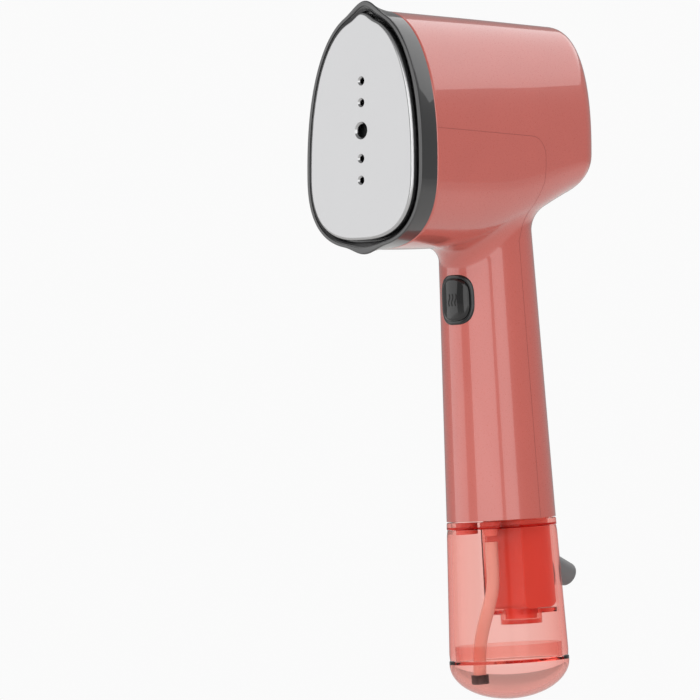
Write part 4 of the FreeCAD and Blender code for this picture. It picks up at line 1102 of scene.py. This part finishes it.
@dataclass
class Studio:
    """Pale floor and sky, soft boxes, and the camera."""
    target: tuple[float, float, float] = (0.0, -0.00666, -0.09423)
    distance: float = 4.0
    azimuth_deg: float = 45.0
    elevation_deg: float = -3.0
    lens_mm: float = 482.1
    floor_z: float = -0.62
    light_distance: float = 4.5
    light_aim: tuple[float, float, float] = (0.0, 0.05, -0.05)
    fill: float = 0.7
    gloss_fill: float = 0.32
    backdrop: float = 0.96
    # name, bearing from -Y and height in degrees, half width and half height in degrees, radiance
    boxes: tuple[tuple[str, float, float, float, float, float], ...] = (
        ("rear_key", 165.0, 37.5, 31.5, 15.5, 1.4),
        ("front_left_box", -48.0, 11.0, 21.0, 19.0, 1.2),
        ("front_box", 21.0, 11.0, 28.0, 19.0, 1.75),
        ("right_box", 70.0, 11.0, 14.5, 19.0, 1.7),
    )

    def make(self) -> None:
        """Build everything that isn't part of the object."""
        self.make_camera()
        self.make_sky()
        self.make_floor()
        for box in self.boxes:
            self.soft_box(*box)

    def make_camera(self) -> None:
        """Long-lens camera on a sphere about the target."""
        back = heading(self.azimuth_deg, self.elevation_deg)
        data = bpy.data.cameras.new("camera")
        data.sensor_width = 36.0
        data.lens = self.lens_mm
        camera = bpy.data.objects.new("camera", data)
        camera.location = Vector(self.target) + back * self.distance
        camera.rotation_euler = back.to_track_quat("Z", "Y").to_euler()
        bpy.context.scene.collection.objects.link(camera)
        bpy.context.scene.camera = camera

    def make_sky(self) -> None:
        """Even pale light all round."""
        world = bpy.data.worlds.new("sky")
        world.use_nodes = True
        tree = world.node_tree
        shade = tree.nodes["Background"]
        shade.inputs["Color"].default_value = linear("#FFFFFF")
        path = add_node(tree, "ShaderNodeLightPath")
        seen = add_node(tree, "ShaderNodeMath", {"operation": "MAXIMUM"},
                        {0: path.outputs["Is Camera Ray"], 1: path.outputs["Is Transmission Ray"]})
        soft = add_node(tree, "ShaderNodeMapRange", {"To Min": self.gloss_fill, "To Max": self.fill},
                        {"Value": path.outputs["Is Diffuse Ray"]})
        level = add_node(tree, "ShaderNodeMapRange", {"To Max": self.backdrop},
                         {"Value": seen.outputs["Value"], "To Min": soft.outputs["Result"]})
        tree.links.new(level.outputs["Result"], shade.inputs["Strength"])
        bpy.context.scene.world = world
        bpy.context.scene.view_settings.view_transform = "Standard"

    def make_floor(self) -> None:
        """Plain pale floor well below the object, which hangs in the air."""
        mesh = bpy.data.meshes.new("floor")
        half, z = 12.0, self.floor_z
        corners = [(-half, -half, z), (half, -half, z), (half, half, z), (-half, half, z)]
        mesh.from_pydata(corners, [], [(0, 1, 2, 3)])
        floor = bpy.data.objects.new("floor", mesh)
        bpy.context.scene.collection.objects.link(floor)
        paint = Finish("pale_floor_paint", "#E9E8E6", 0.8, grain_mm=60.0, grain_depth_mm=0.05, tone_shift=0.01)
        mesh.materials.append(paint.build())

    def soft_box(self, name: str, bearing: float, height: float, half_width: float, half_height: float,
                 radiance: float) -> None:
        """Large soft box that looks at the object from a direction.

        Args:
            name: the light's name.
            bearing: degrees round from -Y towards +X.
            height: degrees above level.
            half_width: half its width as seen from the object, in degrees.
            half_height: half its height as seen from the object, in degrees.
            radiance: brightness of its face, where the white backdrop is 1.
        """
        towards = heading(bearing, height)
        data = bpy.data.lights.new(name, "AREA")
        data.shape = "RECTANGLE"
        data.size = 2 * self.light_distance * math.tan(math.radians(half_width))
        data.size_y = 2 * self.light_distance * math.tan(math.radians(half_height))
        data.energy = radiance * math.pi * data.size * data.size_y
        light = bpy.data.objects.new(name, data)
        light.location = Vector(self.light_aim) + towards * self.light_distance
        light.rotation_euler = towards.to_track_quat("Z", "Y").to_euler()
        light.visible_camera = False
        bpy.context.scene.collection.objects.link(light)


NODES_BY_FINISH = {
    "coral_gloss_abs": "front_shell rear_shell", "coral_dock_abs_painted_lighter": "tank_dock",
    "graphite_gloss_abs": "front_bezel",
    "piano_black_abs": "button_surround steam_button", "clear_coral_san": "water_tank tank_lid tank_base",
    "polished_aluminium": "soleplate", "cast_aluminium": "steam_chamber", "turned_brass": "water_nozzle",
    "brushed_steel": "heating_element chamber_cover thermal_fuse heat_shield button_spring pump_piston "
                     "pump_spring switch_screws bezel_screws chamber_screws cover_screws cradle_screws "
                     "board_screws dock_screws",
    "white_silicone": "soleplate_gasket chamber_gasket suction_hose delivery_hose pickup_tube",
    "coral_silicone": "tank_seal fill_plug", "grey_soft_elastomer": "cord_gland",
    "natural_nylon": "switch_plunger switch_plate pump_body pump_cradle cord_clamp",
    "black_nylon": "steam_switch pump_grommets board_components pickup_strainer",
    "phenolic_resin": "thermostat", "white_ceramic": "chamber_spacers", "green_solder_mask": "control_board",
    "brown_lead_sleeve": "mains_leads heater_leads",
}


def dress_cad(finishes: Finishes) -> None:
    """Give every node of the design its finish."""
    finish_of = {node: finish for finish, nodes in NODES_BY_FINISH.items() for node in nodes.split()}
    for name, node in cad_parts.items():
        finishes.put(node, finish_of[name])


def main() -> None:
    """Build the object piece by piece, then the studio around it."""
    logging.basicConfig(level=logging.INFO, format="%(message)s")
    Studio().make()
    finishes = Finishes()
    dress_cad(finishes)
    axis, head = GripFrame(), HeadForm()

    button = Button(axis)
    housing = Housing(head, axis)
    head_skin = housing.make_head()
    grip_skin = housing.make_grip(button.make_opening())
    seam = housing.make_seam([head_skin, grip_skin])
    # the skins part at the neck, not at the shells' seam, so each of them stands for some of both shells
    shells = ("front_shell", "rear_shell")
    finishes.fit(head_skin, "coral_gloss_abs", HOUSING, shells)
    finishes.fit(grip_skin, "coral_gloss_abs", HOUSING, shells)
    finishes.fit(seam, "coral_seam_shadow", HOUSING)

    bezel = FrontEnd(head).make_bezel()
    finishes.fit(bezel, "graphite_gloss_abs", HOUSING, ("front_bezel",))

    surround, cap, sign = button.make_surround(), button.make_cap(), button.make_sign()
    finishes.fit(surround, "piano_black_abs", HOUSING, ("button_surround",))
    finishes.fit(cap, "piano_black_abs", BUTTON, ("steam_button",))
    finishes.fit(sign, "matte_black_print", BUTTON)

    tank = Tank(axis)
    wall, lid, base, pickup = tank.make_wall(), tank.make_lid(), tank.make_base(), tank.make_pickup()
    for piece, node in ((wall, "water_tank"), (lid, "tank_lid"), (base, "tank_base")):
        finishes.fit(piece, "clear_coral_san", TANK, (node,))
    finishes.fit(pickup, "white_silicone", TANK, ("pickup_tube",))

    finishes.fit(Gland(axis).make(), "grey_soft_elastomer", HOUSING, ("cord_gland",))


if __name__ == "__main__":
    main()
